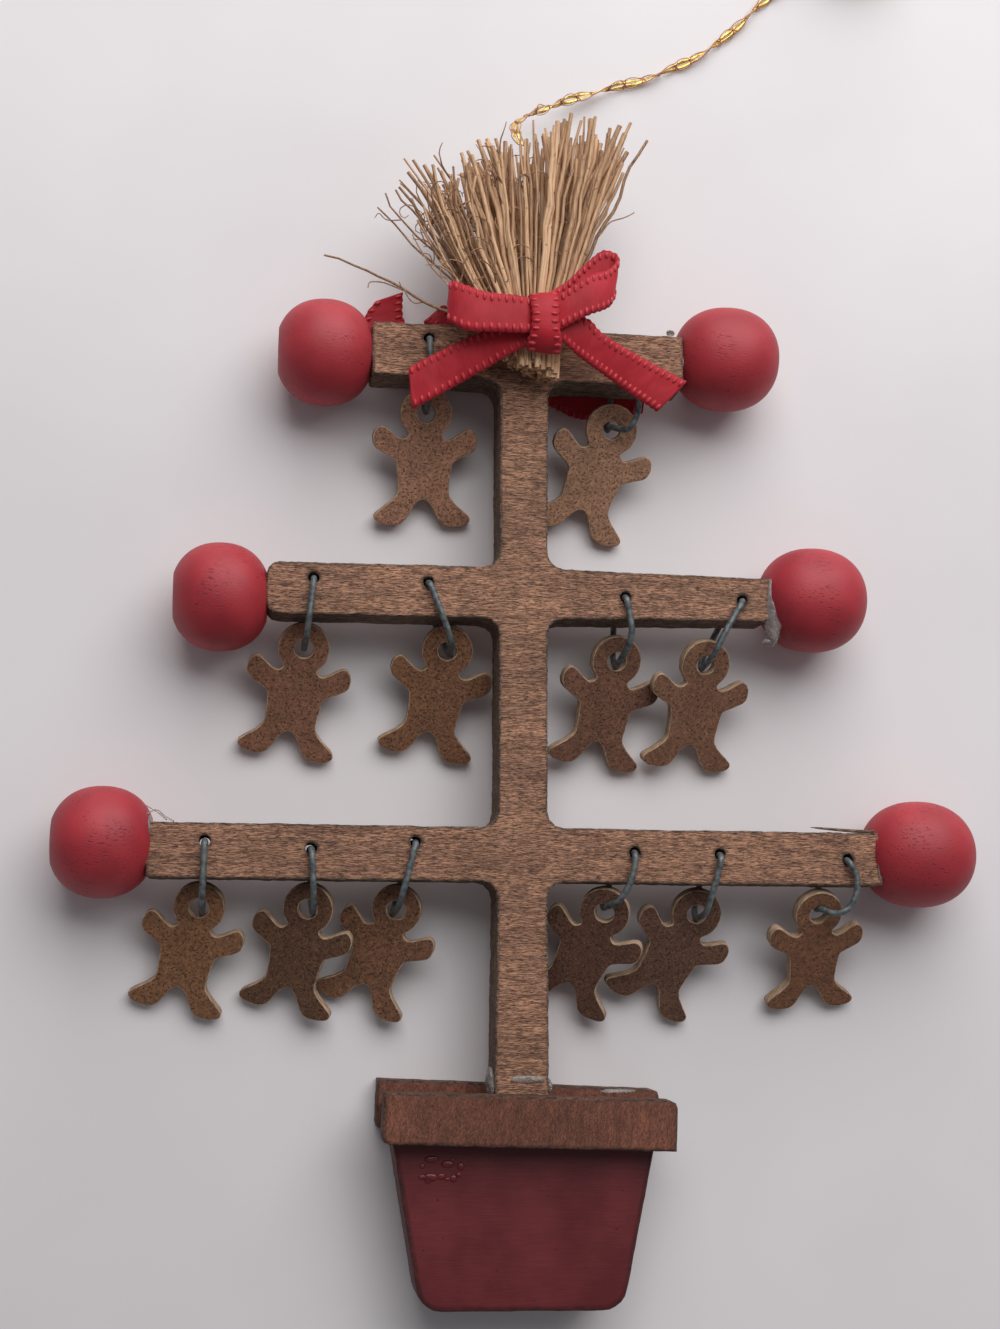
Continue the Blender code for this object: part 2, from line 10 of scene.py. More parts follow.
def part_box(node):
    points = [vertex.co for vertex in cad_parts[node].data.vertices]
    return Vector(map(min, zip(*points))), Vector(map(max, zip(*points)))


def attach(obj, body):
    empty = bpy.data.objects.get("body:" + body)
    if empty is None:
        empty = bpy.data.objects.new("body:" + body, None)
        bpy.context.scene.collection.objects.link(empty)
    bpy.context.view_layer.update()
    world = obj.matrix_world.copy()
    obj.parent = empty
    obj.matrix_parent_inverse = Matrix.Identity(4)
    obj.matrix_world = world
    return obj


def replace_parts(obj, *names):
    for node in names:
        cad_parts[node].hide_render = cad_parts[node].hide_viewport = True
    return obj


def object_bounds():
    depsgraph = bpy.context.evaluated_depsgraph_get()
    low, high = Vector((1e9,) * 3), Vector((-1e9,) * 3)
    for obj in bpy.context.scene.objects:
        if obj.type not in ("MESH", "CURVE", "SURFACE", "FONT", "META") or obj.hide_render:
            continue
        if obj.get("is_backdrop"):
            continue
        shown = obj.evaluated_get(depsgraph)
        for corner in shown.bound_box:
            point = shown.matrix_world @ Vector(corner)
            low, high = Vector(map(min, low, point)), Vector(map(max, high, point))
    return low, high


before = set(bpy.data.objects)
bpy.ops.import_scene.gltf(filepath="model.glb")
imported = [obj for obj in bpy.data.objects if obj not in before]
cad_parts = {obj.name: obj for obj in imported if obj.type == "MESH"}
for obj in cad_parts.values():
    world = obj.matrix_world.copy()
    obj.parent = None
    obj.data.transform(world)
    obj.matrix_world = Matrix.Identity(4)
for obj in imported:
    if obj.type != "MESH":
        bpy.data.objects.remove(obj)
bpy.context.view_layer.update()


# The camera hangs over the table a little left of the stem and looks almost straight down, so the
# left sides of the stem and the lower sides of the upper bars show.
camera_data = bpy.data.cameras.new("camera")
camera_data.sensor_width = 36.0
camera_data.lens = 51.467
camera_data.clip_start = 0.01
camera = bpy.data.objects.new("camera", camera_data)
camera_turn = Matrix(((0.98987, -0.02558, -0.13955), (0.00516, 0.98946, -0.14473), (0.14178, 0.14255, 0.97957)))
camera.matrix_world = Matrix.Translation((-0.032905, 0.019331, 0.2210)) @ camera_turn.to_4x4()
bpy.context.scene.collection.objects.link(camera)
bpy.context.scene.camera = camera
bpy.context.scene.view_settings.view_transform = "Standard"


# The hanging cord: flat knitted metallic yarn, two gold strips bound by a thin pink thread every few
# millimetres. It comes out of the straws, falls to the table and twists as it lies there. What the
# photograph doesn't show is wound in four turns, and it ends in a small knot.
cord_width = 0.0010
cord_route = [
    (-0.0006, 0.1128, 0.0096), (-0.0011, 0.1144, 0.0089), (-0.0010, 0.1160, 0.0078),
    (0.0000, 0.1176, 0.0064), (0.0015, 0.1191, 0.0050), (0.0036, 0.1206, 0.0036),
    (0.0062, 0.1222, 0.0024), (0.0093, 0.1237, 0.0014), (0.0130, 0.1253, 0.0008),
    (0.0170, 0.1267, 0.0006), (0.0204, 0.1284, 0.0007), (0.0234, 0.1301, 0.0006),
    (0.0262, 0.1323, 0.0005), (0.0290, 0.1350, 0.0005), (0.0319, 0.1381, 0.0005),
    (0.0350, 0.1406, 0.0005), (0.0379, 0.1422, 0.0005), (0.0405, 0.1429, 0.0005),
]
coil_centre = Vector((0.0440, 0.1485, 0.0))
coil_radius = 0.0055
coil_start = math.radians(-105)
coil_turns = 4
coil_points = 16


def tone(red, green, blue):
    """A colour as the eye reads it, 0 to 255, turned into light."""
    return tuple(((c / 255 + 0.055) / 1.055) ** 2.4 if c > 10 else c / 3300 for c in (red, green, blue)) + (1.0,)


def plug(tree, socket, value):
    """Joins another node's output to a socket, or sets it to a plain value."""
    if isinstance(value, bpy.types.NodeSocket):
        tree.links.new(value, socket)
    else:
        socket.default_value = value


def add(tree, kind, settings=None, **inputs):
    """A node with its settings. An input is a value or another node's output, by name or as i0, i1."""
    made = tree.nodes.new(kind)
    for key, value in (settings or {}).items():
        setattr(made, key, value)
    for key, value in inputs.items():
        plug(tree, made.inputs[int(key[1:]) if key[1:].isdigit() else key.replace("_", " ")], value)
    return made


def reckon(tree, operation, *values):
    """One sum on two or three values."""
    inputs = {f"i{n}": value for n, value in enumerate(values)}
    return add(tree, "ShaderNodeMath", dict(operation=operation), **inputs).outputs[0]


def scaled(tree, vector, by):
    """A vector or a colour, made longer or lighter."""
    return add(tree, "ShaderNodeVectorMath", dict(operation="SCALE"), i0=vector, Scale=by).outputs[0]


def stretched(tree, place, scale):
    """A place whose three directions are scaled, so that a pattern gets longer or finer along them."""
    return add(tree, "ShaderNodeMapping", Vector=place, Scale=scale).outputs[0]


def mix(tree, share, first, second):
    """Two colours mixed by a share."""
    return add(tree, "ShaderNodeMix", dict(data_type="RGBA"), i0=share, i6=first, i7=second).outputs[2]


def span(tree, value, low, high, to_low=0.0, to_high=1.0):
    """A value's range from low to high, stretched to another range and clamped."""
    return add(tree, "ShaderNodeMapRange", i0=value, i1=low, i2=high, i3=to_low, i4=to_high).outputs[0]


def clouds(tree, place, scale, detail=2.0, roughness=0.5):
    """Cloudy noise, around a half."""
    made = add(tree, "ShaderNodeTexNoise", Vector=place, Scale=scale, Detail=detail, Roughness=roughness)
    return made.outputs["Fac"]


def mottle(tree, place, scale, detail, low, high, first, second):
    """Two tones that take turns in cloudy patches."""
    return mix(tree, span(tree, clouds(tree, place, scale, detail), low, high), tone(*first), tone(*second))


def finish(name):
    """A new material, with its node tree, its shader and the place on the ornament in millimetres."""
    made = bpy.data.materials.new(name)
    made.use_nodes = True
    tree = made.node_tree
    place = scaled(tree, add(tree, "ShaderNodeTexCoord").outputs["Object"], 1000.0)
    return made, tree, tree.nodes["Principled BSDF"], place


def surface(tree, shader, colour, roughness, height=None, depth=0.0):
    """Gives a shader its colour and roughness, and the fine relief of its surface."""
    plug(tree, shader.inputs["Base Color"], colour)
    plug(tree, shader.inputs["Roughness"], roughness)
    if height:
        bump = add(tree, "ShaderNodeBump", Height=height, Distance=depth)
        tree.links.new(bump.outputs[0], shader.inputs["Normal"])


def smooth_line(stops, count):
    """Evenly spaced points on a smooth curve through the stops, and its length."""
    stops = [Vector(stop) for stop in stops]
    padded = [2 * stops[0] - stops[1]] + stops + [2 * stops[-1] - stops[-2]]
    dense = []
    for a, b, c, d in zip(padded, padded[1:], padded[2:], padded[3:]):
        for step in range(12):
            t = step / 12
            dense.append(0.5 * (2 * b + (c - a) * t + (2 * a - 5 * b + 4 * c - d) * t * t
                                + (3 * b - a - 3 * c + d) * t ** 3))
    dense.append(stops[-1])
    reached = [0.0]
    for a, b in zip(dense, dense[1:]):
        reached.append(reached[-1] + (b - a).length)
    points = []
    at = 0
    for n in range(count):
        target = reached[-1] * n / (count - 1)
        while at < len(dense) - 2 and reached[at + 1] < target:
            at += 1
        share = (target - reached[at]) / max(reached[at + 1] - reached[at], 1e-9)
        points.append(dense[at].lerp(dense[at + 1], min(share, 1.0)))
    return points, reached[-1]


def sweep(work, stations, sides, slot=0, closed=False):
    """A skin over oval sections, each a centre with its two half axes."""
    rows = []
    for centre, across, up in stations:
        turns = [2 * math.pi * n / sides for n in range(sides)]
        rows.append([work.verts.new(centre + across * math.cos(a) + up * math.sin(a)) for a in turns])
    followers = rows[1:] + rows[:1] if closed else rows[1:]
    for lower, upper in zip(rows, followers):
        for n in range(sides):
            after = (n + 1) % sides
            face = work.faces.new((lower[n], lower[after], upper[after], upper[n]))
            face.material_index = slot
            face.smooth = True
    if not closed:
        for end in (rows[0][::-1], rows[-1]):
            work.faces.new(end).material_index = slot


def piece(name, work, *finishes):
    """The finished mesh of a piece, its faces turned outwards, riding on the ornament."""
    bmesh.ops.recalc_face_normals(work, faces=work.faces)
    mesh = bpy.data.meshes.new(name)
    work.to_mesh(mesh)
    work.free()
    for made in finishes:
        mesh.materials.append(made)
    item = bpy.data.objects.new(name, mesh)
    bpy.context.scene.collection.objects.link(item)
    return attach(item, "root")


gold, tree, shader, place = finish("gold_metallic_yarn")
colour = mottle(tree, place, 3.1, 2.0, 0.35, 0.68, (214, 160, 62), (255, 228, 138))
shader.inputs["Metallic"].default_value = 0.75
shine = span(tree, clouds(tree, place, 6.0), 0.3, 0.7, 0.20, 0.40)
surface(tree, shader, colour, shine, clouds(tree, place, 9.0), 0.00003)

thread, tree, shader, place = finish("pink_thread")
colour = mottle(tree, place, 8.0, 2.0, 0.35, 0.65, (150, 92, 76), (206, 142, 120))
surface(tree, shader, colour, 0.55, clouds(tree, place, 14.0), 0.00003)


def on_coil(angle, level):
    """A point over the coil's middle line."""
    return coil_centre + Vector((math.cos(angle) * coil_radius, math.sin(angle) * coil_radius, level))


cord_path = smooth_line(cord_route, 36)[0]
for point in cord_path:
    point.z = max(point.z, cord_width / 2)
for n in range(coil_points * coil_turns + 1):
    turns = n / coil_points
    cord_path.append(on_coil(coil_start + 2 * math.pi * turns, cord_width * (0.5 + turns)))
for share in (0.5, 1.0):
    cord_path.append(on_coil(coil_start + math.radians(38) * share,
                             cord_width * (0.5 + coil_turns + 1.2 * share)))
dense_points, cord_length = smooth_line(cord_path, 640)
step_length = cord_length / (len(dense_points) - 1)
# Where along the run it turns edge-on to the eye, as the photograph shows, and then at even steps.
edge_on = [0.0088, 0.0128, 0.0206, 0.0284]
while edge_on[-1] < cord_length:
    edge_on.append(edge_on[-1] + 0.0075)
band_spacing = 0.00235
band_points = 10
# The gold strip and the pink thread on each side: their share of the half width, half sizes and finish.
cord_strands = ((0.44, 0.00021, 0.00006, 0), (0.98, 0.00005, 0.00007, 1))

cord_frames = []
turns_done = 0
for n, point in enumerate(dense_points):
    gone = n * step_length
    while turns_done < len(edge_on) - 1 and gone > edge_on[turns_done]:
        turns_done += 1
    before = edge_on[turns_done - 1] if turns_done else -0.0040
    share = (gone - before) / (edge_on[turns_done] - before)
    angle = math.pi * (turns_done - 0.5 + share)
    ahead = dense_points[min(n + 1, len(dense_points) - 1)] - dense_points[max(n - 1, 0)]
    flat = ahead.cross(Vector((0, 0, 1))).normalized()
    upright = flat.cross(ahead).normalized()
    wide = flat * math.cos(angle) + upright * math.sin(angle)
    thick = upright * math.cos(angle) - flat * math.sin(angle)
    cord_frames.append((point, wide, thick, gone))

work = bmesh.new()
for side in (-1, 1):
    for inner, half_wide, half_thick, slot in cord_strands:
        stations = []
        for point, wide, thick, gone in cord_frames:
            spread = 0.00040 + 0.00027 * abs(math.sin(math.pi * gone / band_spacing)) ** 0.7
            centre = point + wide * side * spread * inner
            lift = max(abs(wide.z) * spread * 1.1 + half_thick - centre.z, 0)
            centre += Vector((0, 0, lift))
            turned = (wide + thick * side * 0.35).normalized()
            outward = turned.cross(wide.cross(thick)).normalized()
            stations.append((centre, turned * half_wide, outward * half_thick))
        sweep(work, stations, 6 if slot == 0 else 5, slot)
band = band_spacing
while band < cord_length - band_spacing / 2:
    point, wide, thick, gone = cord_frames[round(band / step_length)]
    point = point + Vector((0, 0, max(abs(wide.z) * 0.0004 - point.z, 0)))
    along = wide.cross(thick)
    for lean_way in (-1, 1):
        stations = []
        for n in range(band_points):
            angle = 2 * math.pi * n / band_points
            out = wide * 0.00042 * math.cos(angle) + thick * 0.00014 * math.sin(angle)
            lean = along * 0.00030 * math.cos(angle) * lean_way
            stations.append((point + out + lean, out.normalized() * 0.00006, along * 0.00008))
        sweep(work, stations, 5, 1, closed=True)
    band += band_spacing
gold_hanging_cord = piece("gold_hanging_cord", work, gold, thread)
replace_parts(gold_hanging_cord, "cord_run", "cord_coil")

knot_low, knot_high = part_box("cord_knot")
knot_centre = (knot_low + knot_high) / 2
knot_size = (knot_high - knot_low).x / 2
knot_points = 48
work = bmesh.new()
stations = []
for n in range(knot_points):
    a = 2 * math.pi * n / knot_points
    loop = Vector((math.sin(a) + 2 * math.sin(2 * a), math.cos(a) - 2 * math.cos(2 * a), -1.2 * math.sin(3 * a)))
    ahead = Vector((math.cos(a) + 4 * math.cos(2 * a), -math.sin(a) + 4 * math.sin(2 * a), -3.6 * math.cos(3 * a)))
    across = ahead.cross(loop).normalized()
    up = ahead.cross(across).normalized()
    stations.append((knot_centre + loop * knot_size * 0.26, across * knot_size * 0.22, up * knot_size * 0.22))
sweep(work, stations, 8, closed=True)
cord_end_knot = piece("cord_end_knot", work, gold)
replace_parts(cord_end_knot, "cord_knot")


# The tree is one thin board with an open straight grain across it, sawn out by hand, dipped in brown
# stain and rubbed off, so the face shows light streaks and dark pores, and the sawn edges stayed dark.
wood_light, wood_dark, wood_pore = tone(198, 148, 118), tone(102, 71, 56), tone(58, 36, 26)
sawn_light, sawn_dark = tone(146, 120, 102), tone(82, 65, 55)

grain = bpy.data.node_groups.new("stained grain", "ShaderNodeTree")
for way, kind, labels in (("INPUT", "Vector", ("Place",)), ("INPUT", "Color", ("Light", "Dark", "Pore")),
                          ("INPUT", "Float", ("Along", "Across", "Pores")), ("OUTPUT", "Color", ("Color",)),
                          ("OUTPUT", "Float", ("Height",))):
    for label in labels:
        grain.interface.new_socket(label, in_out=way, socket_type="NodeSocket" + kind)
given = grain.nodes.new("NodeGroupInput").outputs
result = grain.nodes.new("NodeGroupOutput").inputs
stretch = add(grain, "ShaderNodeCombineXYZ", X=given["Along"], Y=given["Across"], Z=given["Across"])
lines = add(grain, "ShaderNodeVectorMath", dict(operation="MULTIPLY"), i0=given["Place"],
            i1=stretch.outputs[0]).outputs[0]
streaks = clouds(grain, lines, 1.0, 4.0, 0.62)
fibres = clouds(grain, lines, 2.6, 3.0, 0.65)
bands = clouds(grain, lines, 0.22, 2.0, 0.5)
cloudy = clouds(grain, given["Place"], 0.11, 2.0, 0.5)
face_colour = mix(grain, span(grain, streaks, 0.38, 0.62), given["Dark"], given["Light"])
face_colour = mix(grain, span(grain, fibres, 0.45, 0.75, 0.0, 0.45), face_colour, given["Light"])
shade = reckon(grain, "MULTIPLY", span(grain, bands, 0.3, 0.7, 0.72, 1.18),
               span(grain, cloudy, 0.3, 0.7, 0.80, 1.16))
face_colour = scaled(grain, face_colour, shade)
pores = span(grain, clouds(grain, lines, 1.7, 2.0, 0.7), 0.545, 0.63)
pores = reckon(grain, "MULTIPLY", pores, given["Pores"])
grain.links.new(mix(grain, pores, face_colour, given["Pore"]), result["Color"])
ridges = reckon(grain, "MULTIPLY_ADD", fibres, 0.6, streaks)
grain.links.new(reckon(grain, "SUBTRACT", ridges, pores), result["Height"])


def wooden(name, light, dark, pore, along, across, pores, turn=0.0, wear=None, roughness=0.78, depth=0.00007):
    """Stained wood whose grain is turned in the board's plane. Its worn or dirty rim takes the wear colour."""
    made, tree, shader, place = finish(name)
    if turn:
        place = add(tree, "ShaderNodeMapping", Vector=place, Rotation=(0, 0, turn)).outputs[0]
    wood = add(tree, "ShaderNodeGroup", dict(node_tree=grain), Place=place, Light=light, Dark=dark, Pore=pore,
               Along=along, Across=across, Pores=pores)
    colour = wood.outputs["Color"]
    if wear:
        rim = add(tree, "ShaderNodeAttribute", dict(attribute_name="rim")).outputs["Fac"]
        rim = reckon(tree, "MULTIPLY", rim, span(tree, clouds(tree, place, 0.9, 3.0), 0.35, 0.62))
        colour = mix(tree, rim, colour, wear)
    surface(tree, shader, colour, roughness, wood.outputs["Height"], depth)
    return made


def board_outlines(node):
    """A flat board's front outlines, longest first, its front direction and its thickness."""
    work = bmesh.new()
    work.from_mesh(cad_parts[node].data)
    bmesh.ops.remove_doubles(work, verts=work.verts, dist=0.000001)
    facing = {}
    for face in work.faces:
        if face.normal.z > 0.5:
            facing.setdefault(tuple(round(part, 2) for part in face.normal), []).append(face)
    front = max(facing.values(), key=lambda faces: sum(face.calc_area() for face in faces))[0].normal.copy()
    flats = {face.index for face in work.faces if face.normal.dot(front) > 0.99}
    after = {}
    for face in work.faces:
        for corner in face.loops:
            if face.index in flats and corner.link_loop_radial_next.face.index not in flats:
                after[corner.vert.index] = corner.link_loop_next.vert.index
    work.verts.ensure_lookup_table()
    loops = []
    while after:
        start = min(after)
        number = after.pop(start)
        loop = [work.verts[start].co.copy()]
        while number != start:
            loop.append(work.verts[number].co.copy())
            number = after.pop(number)
        loops.append(loop)
    loops.sort(key=lambda loop: -sum((a - b).length for a, b in zip(loop, loop[1:])))
    thickness = max((loops[0][0] - vert.co).dot(front) for vert in work.verts)
    work.free()
    return loops, front, thickness


def spaced(loop, spacing):
    """More points along the straight stretches of an outline."""
    points = []
    for a, b in zip(loop, loop[1:] + loop[:1]):
        parts = max(int((b - a).length / spacing), 1)
        points += [a.lerp(b, n / parts) for n in range(parts)]
    return points


def smoothed(loop):
    """Twice the points of an outline, the new ones on a smooth curve through the old ones."""
    points = []
    for n in range(len(loop)):
        a, b, c, d = (loop[(n + step) % len(loop)] for step in (-1, 0, 1, 2))
        points += [b, (9 * (b + c) - a - d) / 16]
    return points


def is_inside(middle, ring):
    """Whether a flat point lies inside a closed ring of flat points."""
    crossings = 0
    for a, b in zip(ring, ring[1:] + ring[:1]):
        if (a.y > middle.y) != (b.y > middle.y):
            crossings += middle.x < a.x + (b.x - a.x) * (middle.y - a.y) / (b.y - a.y)
    return crossings % 2 == 1


def fill_flat(work, rings, front):
    """Fills the flat between an outline and the rings of its holes with triangles."""
    across = front.orthogonal().normalized()
    upwards = front.cross(across)
    height = front * rings[0][0].co.dot(front)
    verts, edges, owners = [], [], []
    for owner, ring in enumerate(rings):
        start = len(verts)
        verts += ring
        edges += [(start + n, start + (n + 1) % len(ring)) for n in range(len(ring))]
        owners += [owner] * len(ring)
    flat = [Vector((vert.co.dot(across), vert.co.dot(upwards))) * 1000 for vert in verts]
    holes = [[spot for spot, owner in zip(flat, owners) if owner == number] for number in range(len(rings))]
    places, _, cells, origins = delaunay_2d_cdt(flat, edges, [], 1, 0.000001)[:4]
    numbers = []
    for spot, origin in zip(places, origins):
        if not origin:
            verts.append(work.verts.new((across * spot.x + upwards * spot.y) / 1000 + height))
            flat.append(spot)
            owners.append(0)
        numbers.append(origin[0] if origin else len(verts) - 1)
    for cell in cells:
        corners = [numbers[corner] for corner in cell]
        around = {owners[corner] for corner in corners}
        middle = (flat[corners[0]] + flat[corners[1]] + flat[corners[2]]) / 3
        if len(around) > 1 or 0 in around or not is_inside(middle, holes[around.pop()]):
            work.faces.new([verts[corner] for corner in corners])


def sawn_board(name, node, loops, front, thickness, soften, rim_width, wander, *finishes):
    """A board between its outlines, with rubbed edges, an outline that wanders as the saw did, and
    narrower mouths on its holes. The flats are the first finish, the sawn edges the second."""
    outside = [(soften + rim_width, 0), (soften, 0), (soften * 0.3, soften * 0.3), (0, soften)]
    mouth = [(rim_width, 0), (-0.00010, 0.00002), (-0.00022, 0.00015), (-0.00022, 0.0005)]
    work = bmesh.new()
    rim = work.verts.layers.float.new("rim")
    front_rings, back_rings = [], []
    for order, loop in enumerate(loops):
        drilled_bar = order > 0 and thickness > 0.004
        half = mouth if drilled_bar else outside
        profile = half + [(offset, thickness - depth) for offset, depth in half[::-1]]
        rows = [[] for _ in profile]
        for n, point in enumerate(loop):
            ahead = (loop[(n + 1) % len(loop)] - point).normalized()
            behind = (point - loop[n - 1]).normalized()
            side = front.cross(ahead + behind).normalized()
            side = side / max(side.dot(front.cross(ahead)), 0.6)
            for k, (offset, depth) in enumerate(profile):
                place = point + side * offset - front * depth
                x, y, z = place * 1000
                saw = noise.noise_vector(Vector((x * 0.35, y * 0.35, z * 0.1))) * 0.6
                saw += noise.noise_vector(Vector((x * 1.6, y * 1.6, z * 0.5 + 7))) * 0.5
                if 0 < k < len(profile) - 1:
                    saw += noise.noise_vector(Vector((x * 4.0, y * 4.0, z * 1.5 + 3))) * 0.28
                vert = work.verts.new(place + (saw - front * saw.dot(front)) * wander)
                vert[rim] = 1.0 if 0 < k < len(profile) - 1 else 0.0
                rows[k].append(vert)
        for k, (upper, lower) in enumerate(zip(rows, rows[1:])):
            for n in range(len(loop)):
                after = (n + 1) % len(loop)
                face = work.faces.new((upper[n], lower[n], lower[after], upper[after]))
                face.material_index = 0 if k in (0, len(rows) - 2) else 1
                face.smooth = True
        front_rings.append(rows[0])
        back_rings.append(rows[-1])
    for rings in (front_rings, back_rings):
        fill_flat(work, rings, front)
    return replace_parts(piece(name, work, *finishes), node)


# The saw's wander comes from noise that Blender starts from the clock, unless a seed is set.
noise.seed_set(5)
tree_face = wooden("stained_tree_face", wood_light, wood_dark, wood_pore, 0.85, 8.2, 0.8, wear=tone(78, 58, 46))
tree_edge = wooden("stained_tree_edge", sawn_light, sawn_dark, wood_pore, 0.8, 3.4, 0.9, roughness=0.9,
                   depth=0.00012)
loops, front, thickness = board_outlines("tree_frame")
loops = [spaced(loops[0], 0.00045)] + [smoothed(smoothed(loop)) for loop in loops[1:]]
sawn_tree = sawn_board("sawn_tree", "tree_frame", loops, front, thickness, 0.00018, 0.00018, 0.00013,
                       tree_face, tree_edge)


# The splinter that stands up from the lower right arm is a sliver of the face, still held at one end.
work = bmesh.new()
stations = []
for n in range(9):
    share = n / 8
    x = 0.0412 - 0.0078 * share
    lift = 0.0003 + 0.0012 * share ** 1.6
    half = 0.00022 * (1 - share) ** 0.4 + 0.00003
    y = 0.03215 + 0.00045 * share ** 1.3
    stations.append((Vector((x, y, 0.0088 + lift * 0.4)), Vector((0, half, 0)), Vector((0, 0, 0.00010))))
sweep(work, stations, 5)
splinter = piece("bar_splinter", work, tree_edge)


# The flower pot is a board of the same thickness, painted dark red on all sides. The paint is satin, the
# grain shows through it, it ran in small drips under the rim, and its edges are rubbed nearly black.
pot_paint, tree, shader, place = finish("pot_dark_red_paint")
brushed = clouds(tree, stretched(tree, place, (0.35, 3.0, 3.0)), 1.0, 4.0, 0.6)
patches = clouds(tree, place, 0.16, 3.0, 0.55)
colour = mix(tree, span(tree, patches, 0.35, 0.65), tone(96, 30, 35), tone(112, 36, 41))
colour = mix(tree, span(tree, brushed, 0.35, 0.7, 0.0, 0.22), colour, tone(84, 28, 31))
colour = mix(tree, span(tree, clouds(tree, place, 1.9, 1.0), 0.76, 0.80), colour, tone(40, 16, 16))
rim = add(tree, "ShaderNodeAttribute", dict(attribute_name="rim")).outputs["Fac"]
rubbed = reckon(tree, "MULTIPLY", rim, span(tree, clouds(tree, place, 0.8, 3.0), 0.3, 0.65))
colour = mix(tree, rubbed, colour, tone(52, 24, 24))
surface(tree, shader, colour, span(tree, patches, 0.3, 0.7, 0.36, 0.50), brushed, 0.00002)

pot_edge, tree, shader, place = finish("pot_rubbed_edge")
colour = mottle(tree, place, 1.1, 4.0, 0.4, 0.62, (66, 32, 30), (96, 35, 37))
surface(tree, shader, colour, 0.65, clouds(tree, place, 3.0, 3.0), 0.00010)
loops, front, thickness = board_outlines("pot_board")
painted_pot = sawn_board("painted_pot", "pot_board", [spaced(loops[0], 0.0009)], front, thickness,
                         0.00028, 0.00040, 0.00008, pot_paint, pot_edge)

drip_paint, tree, shader, place = finish("pot_paint_drip")
shader.inputs["Coat Weight"].default_value = 0.15
surface(tree, shader, mottle(tree, place, 1.5, 2.0, 0.35, 0.65, (98, 28, 32), (120, 36, 40)), 0.34)
drips = random.Random(5)
drip_count = 13
work = bmesh.new()
for n in range(drip_count):
    centre = Vector((-0.0110 + 0.0045 * drips.random(), -0.0066 + 0.0026 * drips.random(), 0.0091))
    size = 0.0002 + 0.0003 * drips.random()
    drop = bmesh.ops.create_icosphere(work, subdivisions=2, radius=1.0)["verts"]
    shape = Matrix.Diagonal((size * (0.8 + drips.random()), size, size * 0.35, 1))
    bmesh.ops.transform(work, matrix=Matrix.Translation(centre) @ shape, verts=drop)
for face in work.faces:
    face.smooth = True
piece("pot_paint_drips", work, drip_paint)


# Two strips make the pot's rim, one glued on the face and one on the back, cut across the grain so that
# short flecks stand almost upright on them. Their top edges and sawn ends are nearly black.
rim_face = wooden("rim_face", tone(138, 85, 64), tone(97, 56, 41), tone(72, 40, 30), 2.0, 6.4, 0.4,
                  turn=math.radians(-78), wear=tone(76, 48, 38), roughness=0.62)
rim_edge = wooden("rim_edge", tone(116, 80, 64), tone(64, 45, 37), tone(40, 28, 24), 1.0, 2.6, 0.8, roughness=0.85)
for node, name in (("rim_front", "pot_rim_front"), ("rim_back", "pot_rim_back")):
    loops, front, thickness = board_outlines(node)
    strip = sawn_board(name, node, [spaced(loops[0], 0.0006)], front, thickness, 0.00022, 0.00030, 0.00010,
                       rim_face, rim_edge)


# Six turned wooden beads, drilled along the bar. They are glued over the bar's ends, the lower ones
# deepest. The red paint is matt and thin, with some fine scratches along the grain.
bead_paint, tree, shader, place = finish("bead_matt_red")
dashes = stretched(tree, place, (0.9, 4.5, 4.5))
colour = mottle(tree, place, 0.18, 2.0, 0.3, 0.7, (160, 42, 52), (184, 52, 62))
worn = span(tree, clouds(tree, place, 0.22, 1.0), 0.45, 0.56)
scratched = reckon(tree, "MULTIPLY", span(tree, clouds(tree, dashes, 1.3, 2.0, 0.6), 0.59, 0.68), worn)
colour = mix(tree, scratched, colour, tone(122, 23, 33))
sunk = reckon(tree, "SUBTRACT", clouds(tree, dashes, 2.2, 3.0), scratched)
surface(tree, shader, colour, 0.52, sunk, 0.00003)

bead_sides = 48
shoulder_steps = 24
shoulder = math.radians(68)
bead_bore = 0.0015
bore_lip = 0.00035
# How far each bead comes over the end of its bar, in millimetres.
bead_seats = {("top", "left"): 0.35, ("top", "right"): 0.35, ("middle", "left"): 0.45,
              ("middle", "right"): 0.35, ("bottom", "left"): 0.80, ("bottom", "right"): 1.25}
for bar in ("top", "middle", "bottom"):
    for side in ("left", "right"):
        low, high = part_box(f"bead_{bar}_{side}")
        if side == "left":
            high.x += bead_seats[bar, side] / 1000
        else:
            low.x -= bead_seats[bar, side] / 1000
        centre = (low + high) / 2
        half_length = (high - low).x / 2
        radius = (high - low).z / 2
        mouth = [(bead_bore, 0.80), (bead_bore, 0.94), (bead_bore + bore_lip, 0.992)]
        profile = [(out, -half_length * share) for out, share in mouth]
        for n in range(shoulder_steps + 1):
            angle = shoulder * (2 * n / shoulder_steps - 1)
            bulge = math.copysign(abs(math.sin(angle) / math.sin(shoulder)) ** 0.92, angle)
            profile.append((radius * math.cos(angle) ** 0.86, half_length * bulge))
        profile += [(out, half_length * share) for out, share in mouth[::-1]]
        work = bmesh.new()
        stations = [(centre + Vector((along, 0, 0)), Vector((0, out, 0)), Vector((0, 0, out)))
                    for out, along in profile]
        sweep(work, stations, bead_sides, closed=True)
        bead = piece(f"painted_bead_{bar}_{side}", work, bead_paint)
        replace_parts(bead, f"bead_{bar}_{side}")


